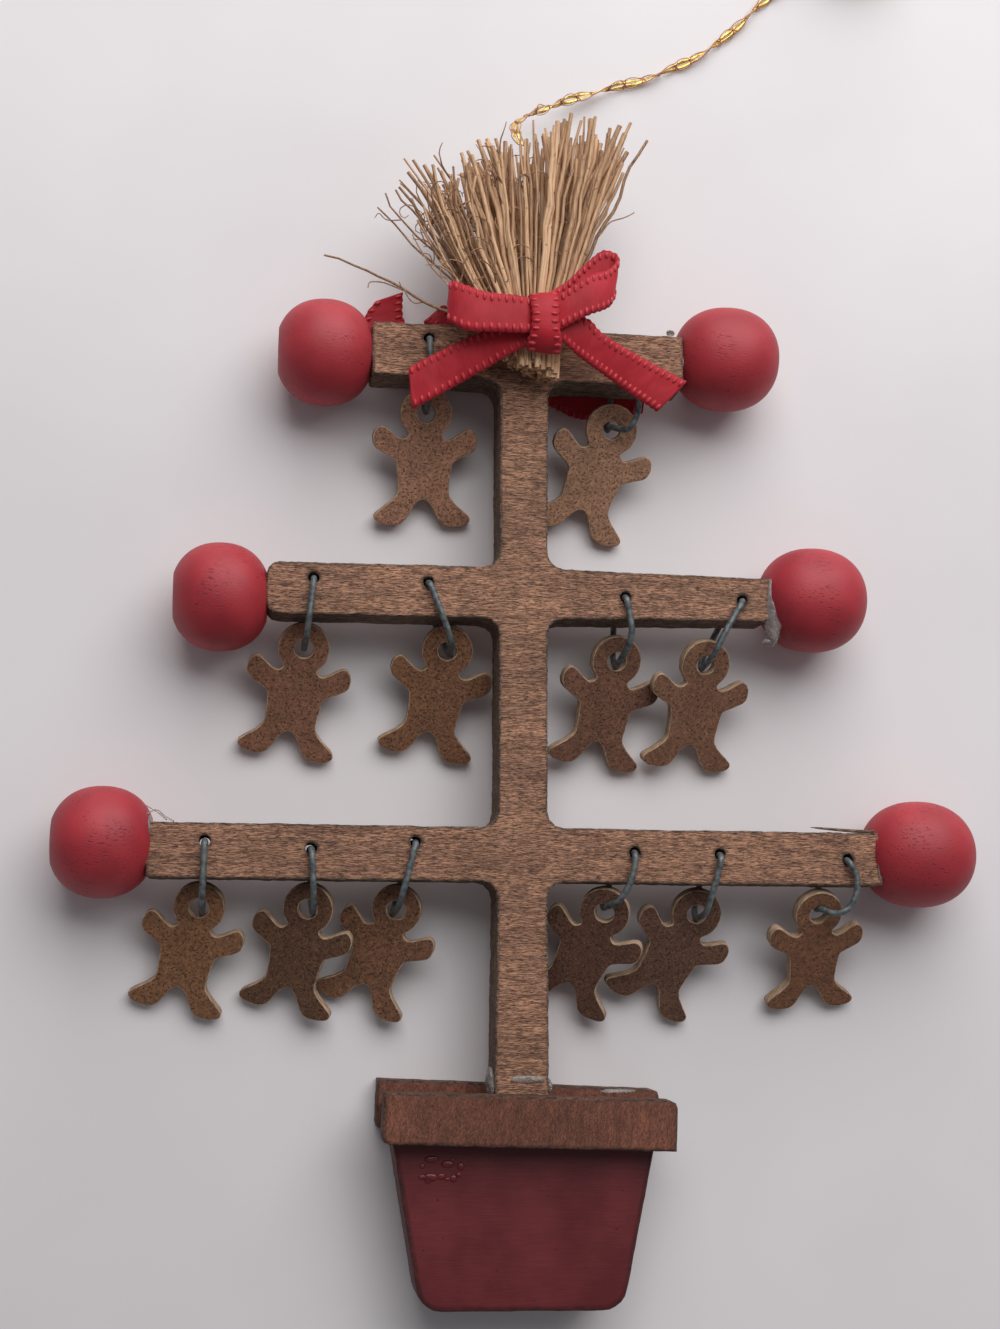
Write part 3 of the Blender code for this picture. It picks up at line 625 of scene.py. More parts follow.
# Twelve gingerbread men, die-cut from thin pressed board that is brown and grainy on its face and pale
# where it was cut. Each came out of a different sheet, so their browns differ.
board_tones = [
    (160, 116, 92), (163, 123, 97), (129, 88, 66), (125, 85, 59), (114, 77, 59), (128, 90, 68),
    (133, 92, 63), (98, 66, 46), (119, 81, 58), (97, 65, 50), (100, 69, 53), (126, 85, 60),
]
board_face, tree, shader, place = finish("gingerbread_board_face")
tint = add(tree, "ShaderNodeAttribute", dict(attribute_name="board_tint")).outputs["Color"]
mottled = clouds(tree, place, 2.2, 4.0, 0.7)
specks = span(tree, clouds(tree, place, 4.2, 2.0, 0.6), 0.56, 0.66)
light_specks = span(tree, clouds(tree, place, 5.1, 1.0), 0.62, 0.74, 0.0, 0.30)
lit = scaled(tree, tint, span(tree, mottled, 0.3, 0.7, 0.56, 1.42))
lit = scaled(tree, lit, span(tree, clouds(tree, place, 0.35, 2.0), 0.3, 0.7, 0.86, 1.12))
colour = mix(tree, light_specks, lit, tone(190, 152, 118))
colour = mix(tree, specks, colour, scaled(tree, tint, 0.34))
surface(tree, shader, colour, 0.82, reckon(tree, "SUBTRACT", mottled, specks), 0.00007)

board_cut, tree, shader, place = finish("gingerbread_cut_edge")
layers = stretched(tree, place, (0.8, 0.8, 5.0))
colour = mottle(tree, layers, 1.2, 3.0, 0.35, 0.65, (138, 112, 90), (196, 168, 140))
surface(tree, shader, colour, 0.9, clouds(tree, place, 5.0, 3.0), 0.00006)

for number, board_tone in enumerate(board_tones, 1):
    node = f"figure_{number:02d}"
    loops, front, thickness = board_outlines(node)
    loops = [smoothed(smoothed(loop)) for loop in loops]
    man = sawn_board(f"gingerbread_man_{number:02d}", node, loops, front, thickness, 0.00009, 0.00020, 0.00005,
                     board_face, board_cut)
    own_tint = man.data.attributes.new("board_tint", "FLOAT_COLOR", "POINT")
    own_tint.data.foreach_set("color", tone(*board_tone) * len(man.data.vertices))


# The wires: dark annealed wire, bent round by hand, that goes through the hole in the bar, down over its
# face, through the head and up behind it, resting against the head's hole. Some bulge to one side.
wire_radius = 0.00037
wire_stations, wire_sides = 96, 10
front_z, back_z = 9.85, 2.62
# For each wire, in millimetres: its hole in the bar, the man's hole, where it rests in that, and its bends.
wire_rounds = [
    ((-11.20, 88.75), (-11.10, 80.86, 5.00), (0.05, 0.35), ()),
    ((12.20, 87.55), (11.00, 79.73, 5.43), (-0.30, 0.10), ((12.9, 85.0, 9.9), (13.5, 82.6, 9.8),
     (13.2, 80.3, 9.4), (12.3, 79.0, 8.6))),
    ((-24.00, 60.04), (-24.80, 52.65, 4.53), (0.05, 0.05), ()),
    ((-11.00, 59.92), (-8.30, 52.78, 4.80), (0.35, -0.35), ()),
    ((11.90, 58.95), (11.50, 52.06, 5.13), (0.10, -0.60), ((12.2, 57.0, 9.8), (12.5, 54.9, 9.6),
     (12.2, 53.1, 8.6))),
    ((25.80, 58.93), (21.90, 51.78, 6.11), (-0.20, -0.45), ((24.4, 56.6, 9.9), (23.2, 54.4, 9.7),
     (22.4, 52.6, 9.0))),
    ((-35.40, 30.23), (-35.80, 23.11, 4.44), (0.25, -0.60), ()),
    ((-23.70, 29.51), (-23.70, 23.07, 5.15), (0.45, -0.45), ()),
    ((-12.10, 30.38), (-13.70, 23.02, 4.36), (-0.35, -0.40), ()),
    ((12.90, 29.52), (9.90, 22.91, 6.50), (-0.05, 0.45), ((12.6, 27.6, 9.9), (12.0, 25.7, 9.7),
     (10.9, 24.0, 9.2))),
    ((22.80, 29.40), (20.80, 22.86, 5.24), (0.15, -0.62), ((22.3, 27.2, 9.8), (21.7, 25.0, 9.5),
     (21.2, 22.9, 8.6))),
    ((37.90, 28.96), (34.90, 22.99, 6.55), (0.15, 0.35), ((38.6, 27.2, 9.8), (38.6, 25.2, 9.8),
     (37.7, 23.4, 9.5), (36.2, 22.8, 9.0))),
]
wire_finish, tree, shader, place = finish("dark_annealed_wire")
shader.inputs["Metallic"].default_value = 0.35
colour = mottle(tree, place, 1.6, 3.0, 0.35, 0.65, (76, 83, 86), (120, 127, 128))
dull = span(tree, clouds(tree, place, 3.0), 0.3, 0.7, 0.38, 0.58)
surface(tree, shader, colour, dull, clouds(tree, place, 5.0, 3.0), 0.00003)

for number, (hole, head, rest, bends) in enumerate(wire_rounds, 1):
    hole = Vector((hole[0], hole[1], 0))
    head = Vector(head) + Vector((*rest, 0))
    towards = Vector((head.x, head.y, 0)) - hole
    if not bends:
        bends = [(hole + towards * share + Vector((0, 0, level)))
                 for share, level in ((0.3, front_z), (0.62, front_z - 0.15), (0.88, front_z - 1.2))]
    stops = [hole + Vector((0, 0, level)) for level in (4.2, 7.6)]
    stops.append(hole + towards * 0.05 + Vector((0, 0, front_z - 0.1)))
    stops += [Vector(bend) for bend in bends]
    stops.append(head + Vector((0, 0.05, 0.7)))
    stops.append(head + Vector((0, 0.05, -0.7)))
    stops += [hole + towards * share + Vector((0, 0, level))
              for share, level in ((0.80, back_z + 0.1), (0.45, back_z), (0.08, back_z))]
    loop = [stop / 1000 for stop in stops]
    ring = smooth_line(loop[-3:] + loop + loop[:3], wire_stations)[0]
    start, end = (min(part, key=lambda n: (ring[n] - loop[0]).length)
                  for part in (range(30), range(60, wire_stations)))
    ring = ring[start:end]
    sideways = Vector((towards.y, -towards.x, 0)).normalized()
    work = bmesh.new()
    stations = []
    for n, point in enumerate(ring):
        ahead = (ring[(n + 1) % len(ring)] - ring[n - 1]).normalized()
        across = (sideways - ahead * sideways.dot(ahead)).normalized()
        up = ahead.cross(across).normalized()
        stations.append((point, across * wire_radius, up * wire_radius))
    sweep(work, stations, wire_sides, closed=True)
    wire = piece(f"bent_wire_{number:02d}", work, wire_finish)
    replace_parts(wire, f"wire_{number:02d}")


# The bundle of broom straw is cut at both ends, tied by the bow and glued on the bar. The straws spread
# above the tie. On the left they are thinner, darker and curled, with side shoots, and a few stray far.
# The straws lower in the bundle, nearer the board, are made darker by painted shade.
straw_colours = (tone(118, 86, 64), tone(190, 149, 113), tone(228, 188, 148))
tip_line = [(-14.2, 105.8), (-12.8, 107.7), (-10.5, 108.6), (-7.7, 110.1), (-4.9, 111.8), (-2.8, 111.9),
            (0.6, 113.4), (2.4, 113.7), (4.8, 115.1), (7.1, 115.3), (9.6, 114.6), (12.0, 114.0)]
stalk_count = 230
twig_count = 170

straw, tree, shader, place = finish("broom_straw")
shade = add(tree, "ShaderNodeAttribute", dict(attribute_name="shade")).outputs["Fac"]
lined = clouds(tree, stretched(tree, place, (4.0, 0.35, 4.0)), 1.2, 3.0, 0.6)
ramp = tree.nodes.new("ShaderNodeValToRGB")
ramp.color_ramp.elements.new(0.5)
for stop, straw_colour in zip(ramp.color_ramp.elements, straw_colours):
    stop.color = straw_colour
tree.links.new(reckon(tree, "ADD", shade, span(tree, lined, 0.3, 0.7, -0.28, 0.28)), ramp.inputs[0])
spots = span(tree, clouds(tree, place, 1.4, 2.0), 0.66, 0.74, 0.0, 0.7)
surface(tree, shader, mix(tree, spots, ramp.outputs[0], tone(84, 58, 42)), 0.62, lined, 0.00005)

luck = random.Random(11)
guides = bmesh.new()
thick_layer = guides.verts.layers.float.new("thick")
shade_layer = guides.verts.layers.float.new("shade")


def guide(points, thick, thin, shade):
    """One straw's line, with its thickness at the root and at the tip, in millimetres."""
    last = None
    for n, point in enumerate(points):
        vert = guides.verts.new(Vector(point) / 1000)
        vert[thick_layer] = (thick + (thin - thick) * n / (len(points) - 1)) / 2000
        vert[shade_layer] = shade
        if last:
            guides.edges.new((last, vert))
        last = vert


def tip_height(x):
    """How high the bundle's top edge is at a place across it."""
    for (x0, y0), (x1, y1) in zip(tip_line, tip_line[1:]):
        if x <= x1:
            return y0 + (y1 - y0) * max(x - x0, 0) / (x1 - x0)
    return tip_line[-1][1]


stalks = []
for n in range(stalk_count):
    u = (n + luck.random()) / stalk_count
    layer = luck.uniform(-1, 1)
    waist_x = -3.0 + 6.5 * u + luck.uniform(-0.2, 0.2)
    waist = Vector((waist_x, 89.6, 11.8 + 2.05 * layer * (1 - 0.5 * (2 * u - 1) ** 2)))
    tip_x = -13.6 + 25.2 * u + luck.uniform(-1.2, 1.2)
    shorter = luck.uniform(0, 1.6) if luck.random() < 0.6 else luck.uniform(1.0, 6.0)
    tip = Vector((tip_x, tip_height(tip_x) - shorter, 10.9 + 4.5 * layer))
    bow_out = 0.66 + 0.50 * u
    curl = luck.uniform(-1.1, 1.1) * (1.4 if u < 0.35 else 1.0)
    hook = luck.uniform(-1.5, 1.1) * max(0.15, 1 - 2.2 * u)
    butt_y = 85.6 - 2.1 * u + luck.uniform(-0.3, 0.9)
    points = [(waist.x * 0.95, butt_y, waist.z * 0.96 + 0.45), (waist.x, 88.0, waist.z)]
    for k in range(9):
        t = k / 8
        x = waist.x + (tip.x - waist.x) * t ** bow_out + curl * t ** 4 + hook * t ** 9
        y = waist.y + (tip.y - waist.y) * t
        points.append((x, y, waist.z + (tip.z - waist.z) * t ** 1.15))
    thick = luck.uniform(0.36, 0.72) if u > 0.25 else luck.uniform(0.26, 0.54)
    # A random tone for each straw, plus painted shade: the straws lower in the bundle, nearer the board, are made
    # darker.
    tone_with_painted_shade = 0.62 + luck.uniform(-0.34, 0.34) - 0.06 * (u < 0.25) - 0.25 * max(0, -layer)
    guide(points, thick, thick * luck.uniform(0.55, 0.95), tone_with_painted_shade)
    stalks.append((points, u))
for n in range(twig_count):
    points, u = luck.choice([s for s in stalks if s[1] < 0.45] if luck.random() < 0.7 else stalks)
    root = Vector(points[luck.randint(4, 9)])
    heading = Vector((luck.uniform(-1.0, 0.5), luck.uniform(0.5, 1.0), luck.uniform(-0.1, 0.5))).normalized()
    bend = luck.uniform(-0.35, 0.35)
    twig = [root.copy()]
    reach = luck.uniform(2.2, 5.0)
    for k in range(7):
        heading = (Matrix.Rotation(bend * (1 + k * 0.25), 3, "Z") @ heading).normalized()
        root = root + heading * reach / 7
        twig.append(root.copy())
    if max(p.y for p in twig) < 114.6 and max(p.z for p in twig) < 16.6:
        guide(twig, luck.uniform(0.14, 0.26), 0.10, 0.12 + luck.uniform(-0.1, 0.25))
strays = [
    ([(-4.0, 90.5, 11), (-8.9, 91.6, 10.4), (-12.5, 92.9, 10.2), (-16.0, 94.9, 10.4), (-19.3, 96.4, 11),
      (-23.3, 96.9, 11.4)], 0.42, 0.24),
    ([(-14.4, 93.9, 10.3), (-16.1, 94.4, 10.5), (-18.1, 94.6, 10.9), (-18.6, 93.6, 11.1)], 0.20, 0.12),
    ([(-12.0, 92.7, 10.2), (-13.3, 92.4, 10.3), (-14.3, 93.4, 10.6), (-14.9, 94.6, 10.8)], 0.18, 0.12),
    ([(-3.6, 90.5, 11), (-8.6, 94.9, 11.4), (-13.2, 98.6, 11.8), (-16.2, 101.6, 12),
      (-18.1, 102.8, 12)], 0.34, 0.20),
    ([(-3.4, 90.8, 11.8), (-9.0, 96.2, 12), (-13.8, 100.6, 12.4), (-16.0, 102.8, 12.2),
      (-16.9, 104.4, 12)], 0.36, 0.20),
    ([(-3.2, 91.0, 12), (-8.4, 97.0, 12.4), (-12.6, 101.6, 12.6), (-14.4, 103.6, 12.4),
      (-15.5, 105.0, 12)], 0.40, 0.24),
    ([(-15.0, 101.6, 12.3), (-16.6, 101.5, 12.2), (-17.9, 102.2, 12), (-18.5, 101.6, 12)], 0.16, 0.10),
    ([(-12.0, 99.0, 12.0), (-12.6, 100.6, 12.2), (-12.2, 102.0, 12.4), (-13.2, 103.0, 12.4)], 0.18, 0.10),
    ([(3.4, 90.6, 11), (7.0, 98.4, 11.6), (10.4, 105.6, 12), (12.6, 110.4, 12), (13.9, 113.2, 12)], 0.50, 0.34),
    ([(8.2, 101.0, 12.4), (9.6, 102.6, 12.6), (10.8, 103.2, 12.6), (12.4, 103.9, 12.6)], 0.20, 0.12),
]
for line, thick, thin in strays:
    guide(smooth_line(line, 14)[0], thick, thin, 0.22)
guide_mesh = bpy.data.meshes.new("straw_lines")
guides.to_mesh(guide_mesh)
guides.free()
straw_lines = bpy.data.objects.new("straw_lines", guide_mesh)
bpy.context.scene.collection.objects.link(straw_lines)


def modifier_tree(name, sizes):
    """A geometry tree with its named inputs after Geometry, and its input and output nodes."""
    made = bpy.data.node_groups.new(name, "GeometryNodeTree")
    made.interface.new_socket("Geometry", in_out="INPUT", socket_type="NodeSocketGeometry")
    for label, kind, value in sizes:
        socket = made.interface.new_socket(label, in_out="INPUT", socket_type="NodeSocket" + kind)
        if value is not None:
            socket.default_value = value
    made.interface.new_socket("Geometry", in_out="OUTPUT", socket_type="NodeSocketGeometry")
    return made, made.nodes.new("NodeGroupInput").outputs, made.nodes.new("NodeGroupOutput").inputs


def dress_up(tree, shape, given, result):
    """Ends a geometry tree: real meshes instead of instances, with the finish on them."""
    whole = add(tree, "GeometryNodeRealizeInstances", Geometry=shape)
    dressed = add(tree, "GeometryNodeSetMaterial", Geometry=whole.outputs[0], Material=given["Finish"])
    tree.links.new(dressed.outputs[0], result["Geometry"])


def grown(item, tree, name, values):
    """Runs a geometry tree on guide lines and keeps what it makes as a plain mesh piece."""
    live = item.modifiers.new(tree.name, "NODES")
    live.node_group = tree
    keys = {socket.name: socket.identifier for socket in tree.interface.items_tree
            if socket.item_type == "SOCKET" and socket.in_out == "INPUT"}
    for label, value in values.items():
        live[keys[label]] = value
    bpy.context.view_layer.update()
    mesh = bpy.data.meshes.new_from_object(item.evaluated_get(bpy.context.evaluated_depsgraph_get()))
    bpy.data.objects.remove(item)
    made = bpy.data.objects.new(name, mesh)
    mesh.materials.clear()
    mesh.materials.append(values["Finish"])
    bpy.context.scene.collection.objects.link(made)
    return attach(made, "root")


straw_tree, given, result = modifier_tree("straw skin", (
    ("Sides", "Int", 6), ("Crookedness", "Float", 0.0002), ("Wander size", "Float", 300.0), ("Seed", "Int", 0),
    ("Finish", "Material", None)))
line = add(straw_tree, "GeometryNodeMeshToCurve", Mesh=given["Geometry"])
wander = add(straw_tree, "ShaderNodeTexNoise", dict(noise_dimensions="4D"),
             Scale=given["Wander size"], W=given["Seed"])
centred = add(straw_tree, "ShaderNodeVectorMath", dict(operation="SUBTRACT"), i0=wander.outputs["Color"],
              i1=(0.5, 0.5, 0.5))
along_straw = add(straw_tree, "GeometryNodeSplineParameter").outputs["Factor"]
offset = scaled(straw_tree, centred.outputs[0], reckon(straw_tree, "MULTIPLY", given["Crookedness"], along_straw))
crooked = add(straw_tree, "GeometryNodeSetPosition", Geometry=line.outputs[0], Offset=offset)
thickness = add(straw_tree, "GeometryNodeInputNamedAttribute", dict(data_type="FLOAT"), Name="thick")
round_section = add(straw_tree, "GeometryNodeCurvePrimitiveCircle", Resolution=given["Sides"], Radius=1.0)
skin = add(straw_tree, "GeometryNodeCurveToMesh", Curve=crooked.outputs[0],
           Profile_Curve=round_section.outputs[0], Scale=thickness.outputs[0], Fill_Caps=True)
dress_up(straw_tree, skin.outputs[0], given, result)
straws = grown(straw_lines, straw_tree, "broom_straws",
               {"Sides": 6, "Crookedness": 0.0026, "Wander size": 240.0, "Seed": 3, "Finish": straw})
for face in straws.data.polygons:
    face.use_smooth = len(face.vertices) == 4
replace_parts(straws, "bristle_bundle")


# Both bows are 5 mm red satin ribbon with a looped picot along each edge. Every strip is drawn between
# its two edges, crowned a little across, and gets its row of small thread loops along both edges.
satin, tree, shader, place = finish("red_satin")
ribbon_place = add(tree, "ShaderNodeUVMap", dict(uv_map="ribbon")).outputs[0]
weft = clouds(tree, stretched(tree, ribbon_place, (9.0, 0.6, 1.0)), 1.0, 3.0, 0.6)
colour = mottle(tree, place, 0.25, 2.0, 0.3, 0.7, (160, 32, 44), (184, 40, 52))
colour = mix(tree, span(tree, weft, 0.35, 0.7, 0.0, 0.3), colour, tone(202, 52, 62))
shader.inputs["Specular IOR Level"].default_value = 0.22
shader.inputs["Sheen Weight"].default_value = 0.06
shader.inputs["Anisotropic"].default_value = 0.5
surface(tree, shader, colour, 0.5, weft, 0.00003)

picot_finish, tree, shader, place = finish("red_picot_thread")
colour = mottle(tree, place, 3.0, 2.0, 0.35, 0.65, (166, 30, 42), (206, 50, 62))
shader.inputs["Sheen Weight"].default_value = 0.06
surface(tree, shader, colour, 0.5, clouds(tree, place, 7.0), 0.00004)

picot_tree, given, result = modifier_tree("picot loops", (
    ("Length", "Float", 0.0006), ("Width", "Float", 0.0004), ("Height", "Float", 0.0003),
    ("Finish", "Material", None)))
dots = add(picot_tree, "GeometryNodeMeshToPoints", Mesh=given["Geometry"])
across_way = add(picot_tree, "GeometryNodeInputNamedAttribute", dict(data_type="FLOAT_VECTOR"), Name="across")
facing_way = add(picot_tree, "GeometryNodeInputNamedAttribute", dict(data_type="FLOAT_VECTOR"), Name="facing")
first_turn = add(picot_tree, "FunctionNodeAlignRotationToVector", dict(axis="X"), Vector=across_way.outputs[0])
second_turn = add(picot_tree, "FunctionNodeAlignRotationToVector", dict(axis="Z", pivot_axis="X"),
                  Rotation=first_turn.outputs[0], Vector=facing_way.outputs[0])
loop_shape = add(picot_tree, "GeometryNodeMeshUVSphere", Segments=8, Rings=5, Radius=0.5)
size = add(picot_tree, "ShaderNodeCombineXYZ", X=given["Length"], Y=given["Width"], Z=given["Height"])
placed = add(picot_tree, "GeometryNodeInstanceOnPoints", Points=dots.outputs[0],
             Instance=loop_shape.outputs[0], Rotation=second_turn.outputs[0], Scale=size.outputs[0])
dress_up(picot_tree, placed.outputs[0], given, result)

picot_spacing = 0.80
picot_size = {"Length": 0.00105, "Width": 0.00050, "Height": 0.00060}
ribbon_width = 5.0
ribbon_half = 0.10
ribbon_columns = 8
row_spacing = 0.225


def tied_bow(name, strips, node):
    """All strips of one bow as one piece, and their picots as another."""
    work = bmesh.new()
    uv = work.loops.layers.uv.new("ribbon")
    marks = bmesh.new()
    across_layer = marks.verts.layers.float_vector.new("across")
    facing_layer = marks.verts.layers.float_vector.new("facing")
    for first_edge, second_edge, crown in strips:
        length = sum((Vector(b) - Vector(a)).length for a, b in zip(first_edge, first_edge[1:]))
        rows = max(int(length / row_spacing), 12)
        first, second = (smooth_line(edge, rows + 1)[0] for edge in (first_edge, second_edge))
        if (first[0] - second[0]).cross(first[1] - first[0]).z < 0:
            first, second = second, first
        normals = []
        for n in range(rows + 1):
            before, after = max(n - 1, 0), min(n + 1, rows)
            ahead = first[after] + second[after] - first[before] - second[before]
            normals.append((first[n] - second[n]).cross(ahead).normalized())
        top, under = [], []
        for n in range(rows + 1):
            upper_row, under_row = [], []
            for k in range(ribbon_columns + 1):
                share = k / ribbon_columns
                centre = first[n].lerp(second[n], share) + normals[n] * crown * math.sin(math.pi * share)
                centre += normals[n] * (0.10 * noise.noise(centre * 0.55) + 0.05 * noise.noise(centre * 1.7))
                scallop = 0.07 * math.sin(2 * math.pi * n * length / rows / picot_spacing)
                if k in (0, ribbon_columns):
                    centre += (first[n] - second[n]).normalized() * (scallop if k == 0 else -scallop)
                upper_row.append(work.verts.new((centre + normals[n] * ribbon_half) / 1000))
                under_row.append(work.verts.new((centre - normals[n] * ribbon_half) / 1000))
            top.append(upper_row)
            under.append(under_row)

        def skin(sheets, corners):
            """One face of the ribbon, on the rows of the sheets that its corners lie on."""
            face = work.faces.new([sheet[n][k] for sheet, (n, k) in zip(sheets, corners)])
            face.smooth = True
            for corner, (n, k) in zip(face.loops, corners):
                corner[uv].uv = (n * length / rows, k / ribbon_columns * ribbon_width)

        around = (top, top, under, under)
        for n in range(rows):
            for k in range(ribbon_columns):
                corners = ((n, k), (n, k + 1), (n + 1, k + 1), (n + 1, k))
                skin([top] * 4, corners)
                skin([under] * 4, corners[::-1])
            for k in (0, ribbon_columns):
                skin(around, ((n, k), (n + 1, k), (n + 1, k), (n, k)))
        for n in (0, rows):
            for k in range(ribbon_columns):
                skin(around, ((n, k), (n, k + 1), (n, k + 1), (n, k)))
        count = int(length / picot_spacing)
        for n in range(count):
            at = (n + 0.5) / count * rows
            low, part = int(at), at - int(at)
            for own, other in ((first, second), (second, first)):
                edge = own[low].lerp(own[low + 1], part)
                inward = (other[low].lerp(other[low + 1], part) - edge).normalized()
                facing = normals[low]
                mark = marks.verts.new((edge + inward * 0.58 + facing * crown * 0.36) / 1000)
                mark[across_layer] = inward
                mark[facing_layer] = facing
    bow = piece(name, work, satin)
    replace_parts(bow, node)
    mesh = bpy.data.meshes.new(name + "_marks")
    marks.to_mesh(mesh)
    marks.free()
    dots = bpy.data.objects.new(name + "_marks", mesh)
    bpy.context.scene.collection.objects.link(dots)
    picots = grown(dots, picot_tree, name + "_picots", {**picot_size, "Finish": picot_finish})
    for face in picots.data.polygons:
        face.use_smooth = True


# The front bow: two loops and two tails under a knot that wraps round the straws.
tied_bow("front_ribbon_bow", (
    ([(-0.5, 92.2, 15.0), (-0.6, 91.9, 16.2), (-0.5, 90.6, 16.9), (-0.4, 89.2, 17.05), (-0.5, 87.7, 16.8),
      (-0.8, 86.6, 16.0), (-0.6, 86.0, 14.9)],
     [(2.9, 92.6, 15.0), (2.9, 92.2, 16.2), (2.75, 90.8, 16.9), (2.7, 89.3, 17.05), (2.9, 87.6, 16.8),
      (3.2, 86.4, 16.0), (3.2, 85.8, 14.9)], 0.22),
    ([(0.4, 91.5, 15.9), (-1.6, 91.8, 16.5), (-5.2, 91.9, 16.7), (-7.4, 92.5, 16.6), (-9.0, 93.2, 16.1),
      (-9.5, 93.4, 15.4), (-8.9, 93.3, 14.8), (-6.0, 92.6, 14.6), (-1.5, 91.6, 15.0)],
     [(0.4, 87.9, 15.9), (-1.3, 87.5, 16.5), (-4.6, 87.4, 16.7), (-7.6, 87.4, 16.6), (-9.2, 88.2, 16.1),
      (-9.7, 88.8, 15.4), (-9.1, 88.9, 14.8), (-6.0, 88.6, 14.6), (-1.5, 88.2, 15.0)], 0.15),
    ([(1.6, 91.7, 15.8), (3.1, 92.4, 16.7), (5.0, 93.6, 17.0), (6.6, 94.6, 17.0), (8.4, 95.4, 16.5),
      (9.6, 96.7, 15.9), (9.8, 97.7, 15.3), (9.3, 98.2, 14.9), (8.0, 98.3, 14.6), (5.8, 96.3, 14.5),
      (3.8, 94.3, 14.5), (1.4, 92.7, 14.9)],
     [(1.6, 88.0, 15.8), (2.9, 88.1, 16.5), (4.6, 89.0, 16.9), (6.3, 89.9, 16.9), (7.8, 90.6, 16.5),
      (8.8, 91.4, 15.9), (9.3, 92.6, 15.3), (9.0, 93.4, 14.9), (7.8, 92.8, 14.6), (5.6, 91.4, 14.5),
      (3.6, 90.0, 14.5), (1.4, 88.6, 14.9)], 0.15),
    ([(1.4, 88.9, 15.5), (-1.5, 89.2, 15.1), (-6.5, 87.8, 14.0), (-10.4, 86.0, 12.9), (-13.9, 84.1, 12.2)],
     [(2.4, 86.9, 15.5), (-1.0, 86.3, 14.8), (-5.0, 84.1, 13.5), (-10.0, 81.2, 12.4),
      (-13.4, 79.3, 11.9)], 0.12),
    ([(1.2, 88.4, 15.6), (4.6, 90.1, 15.8), (6.6, 89.7, 15.4), (8.3, 88.3, 14.8), (13.4, 86.1, 13.3),
      (18.6, 84.0, 12.2)],
     [(1.2, 86.9, 15.6), (3.0, 87.1, 15.6), (4.2, 86.4, 15.2), (5.6, 85.5, 14.6), (10.2, 83.0, 13.0),
      (15.1, 80.3, 12.0)], 0.12),
), "front_bow")

# The back bow is squashed between the ornament and the table. Only a torn end above the bar, a small
# fold beside it and one end below the bar show from the front.
tied_bow("back_ribbon_bow", (
    ([(-1.8, 90.0, 2.0), (-1.9, 88.0, 1.1), (-1.8, 86.0, 1.2), (-1.7, 84.8, 2.2)],
     [(1.9, 90.2, 2.0), (1.9, 88.0, 1.1), (1.9, 85.8, 1.2), (1.8, 84.6, 2.2)], 0.1),
    ([(-0.5, 89.6, 2.2), (-6.0, 90.6, 2.0), (-11.0, 91.4, 1.8), (-13.5, 93.0, 1.9), (-13.8, 96.5, 2.3)],
     [(-0.8, 86.2, 2.2), (-8.0, 86.4, 1.9), (-14.4, 87.8, 1.6), (-18.0, 91.2, 1.7), (-18.2, 93.4, 1.9),
      (-17.0, 95.2, 2.3)], 0.12),
    ([(-0.5, 90.0, 1.6), (-4.0, 92.4, 1.3), (-7.4, 94.2, 1.2), (-9.0, 95.1, 1.7), (-8.2, 94.9, 2.3),
      (-4.0, 92.6, 2.6)],
     [(-0.8, 87.0, 1.6), (-5.2, 88.8, 1.3), (-9.6, 91.6, 1.2), (-11.0, 92.9, 1.7), (-10.4, 92.6, 2.3),
      (-5.2, 89.6, 2.6)], 0.08),
    ([(0.6, 89.6, 2.2), (5.0, 88.6, 1.9), (10.0, 87.6, 1.8), (16.0, 86.4, 2.1)],
     [(0.8, 85.2, 2.2), (4.6, 83.2, 1.9), (8.6, 81.9, 1.8), (15.6, 82.9, 2.1)], 0.12),
    ([(0.6, 89.8, 1.5), (4.0, 90.0, 1.2), (7.5, 89.8, 1.2), (9.0, 89.4, 1.7), (7.5, 89.6, 2.4)],
     [(0.8, 86.4, 1.5), (4.2, 86.0, 1.2), (8.0, 85.8, 1.2), (9.4, 86.0, 1.7), (8.0, 86.0, 2.4)], 0.08),
), "back_bow")


# Clear hot glue holds it all: a pool and threads where the beads meet the bars, a fillet at the foot of
# the stem between the two rim strips, and a drawn-out drip at the upper right bead.
glue, tree, shader, place = finish("clear_glue")
colour = mottle(tree, place, 0.9, 2.0, 0.35, 0.65, (196, 190, 186), (232, 228, 224))
shader.inputs["Transmission Weight"].default_value = 0.75
shader.inputs["IOR"].default_value = 1.48
surface(tree, shader, colour, 0.22, clouds(tree, place, 1.6, 2.0), 0.00012)

work = bmesh.new()
# The middle and the half sizes of each pool, in millimetres.
glue_pools = [
    ((29.6, 57.9, 8.6), (1.1, 4.0, 0.9)), ((29.3, 54.2, 7.9), (0.8, 0.5, 0.9)),
    ((18.9, 87.6, 6.6), (0.40, 3.0, 2.4)), ((17.8, 91.3, 7.6), (0.5, 0.35, 0.7)),
    ((-18.2, 87.2, 6.4), (0.35, 3.0, 2.3)), ((-29.6, 58.6, 6.4), (0.35, 2.7, 2.3)),
    ((-41.5, 31.4, 7.6), (0.45, 1.6, 1.7)), ((41.9, 28.6, 8.4), (0.35, 2.2, 0.9)),
    ((0.6, 4.35, 9.10), (2.1, 0.42, 0.20)), ((-3.3, 4.0, 7.4), (0.6, 1.5, 1.2)),
    ((3.2, 3.5, 7.2), (0.5, 0.8, 1.2)), ((10.8, 3.05, 8.9), (2.0, 0.22, 0.25)),
]
for centre, size in glue_pools:
    drop = bmesh.ops.create_icosphere(work, subdivisions=3, radius=1.0)["verts"]
    for vert in drop:
        lumpy = 1 + 0.22 * noise.noise(vert.co * 1.7 + Vector(centre))
        vert.co = (vert.co * Vector(size) * lumpy + Vector(centre)) / 1000
for face in work.faces:
    face.smooth = True
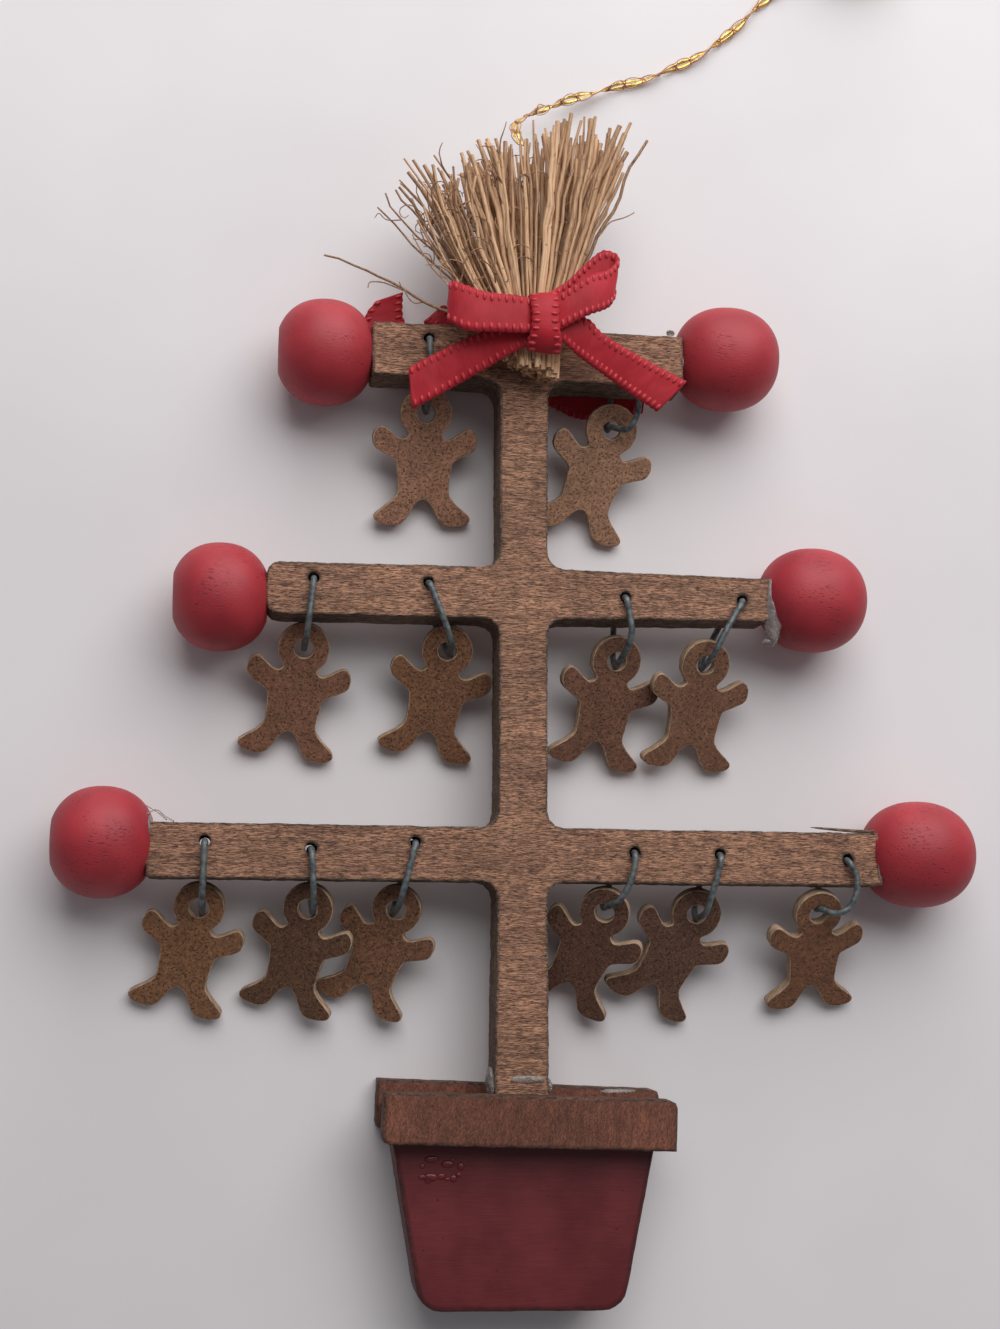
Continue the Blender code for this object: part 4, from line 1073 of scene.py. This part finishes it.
glue_threads = [
    ([(-41.9, 33.0, 8.6), (-40.8, 33.6, 8.4), (-39.8, 32.9, 8.8), (-38.8, 32.3, 9.0)], 0.09),
    ([(-41.9, 34.1, 7.6), (-40.6, 33.3, 8.3), (-39.6, 32.5, 8.9)], 0.07),
    ([(42.0, 32.2, 9.0), (41.5, 31.4, 9.2), (41.4, 29.5, 9.25), (41.6, 27.2, 9.2), (42.0, 26.2, 8.9)], 0.09),
]
thread_steps = 15
for line, thick in glue_threads:
    points = [point / 1000 for point in smooth_line(line, thread_steps + 1)[0]]
    stations = []
    for n, point in enumerate(points):
        ahead = (points[min(n + 1, thread_steps)] - points[max(n - 1, 0)]).normalized()
        across = ahead.cross(Vector((0, 0, 1))).normalized()
        up = across.cross(ahead)
        half = thick / 1000 * (1.3 - 0.5 * math.sin(math.pi * n / thread_steps))
        stations.append((point, across * half, up * half))
    sweep(work, stations, 7)
piece("hot_glue", work, glue)


# It lies on a plain pale table under a large soft window light from above and to the right.
table_top, tree, shader, place = finish("pale_table")
surface(tree, shader, mottle(tree, place, 0.02, 3.0, 0.3, 0.7, (226, 222, 224), (236, 233, 235)), 0.7)
work = bmesh.new()
bmesh.ops.create_grid(work, x_segments=1, y_segments=1, size=1.2)
mesh = bpy.data.meshes.new("table_top")
work.to_mesh(mesh)
work.free()
mesh.materials.append(table_top)
table_piece = bpy.data.objects.new("table_top", mesh)
bpy.context.scene.collection.objects.link(table_piece)
table_piece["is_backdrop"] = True

room = bpy.data.worlds.new("room")
room.use_nodes = True
air = room.node_tree.nodes["Background"].inputs
air["Color"].default_value = (0.97, 0.96, 1.0, 1.0)
air["Strength"].default_value = 0.160
bpy.context.scene.world = room

window_light = bpy.data.lights.new("window", "AREA")
window_light.size = 0.50
window_light.energy = 2.35
window_light.color = (1.0, 0.985, 0.98)
window = bpy.data.objects.new("window", window_light)
window.location = (0.080, 0.335, 0.29)
window.rotation_euler = (Vector((0.0, 0.05, 0.0)) - window.location).to_track_quat("-Z", "Y").to_euler()
bpy.context.scene.collection.objects.link(window)

low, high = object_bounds()
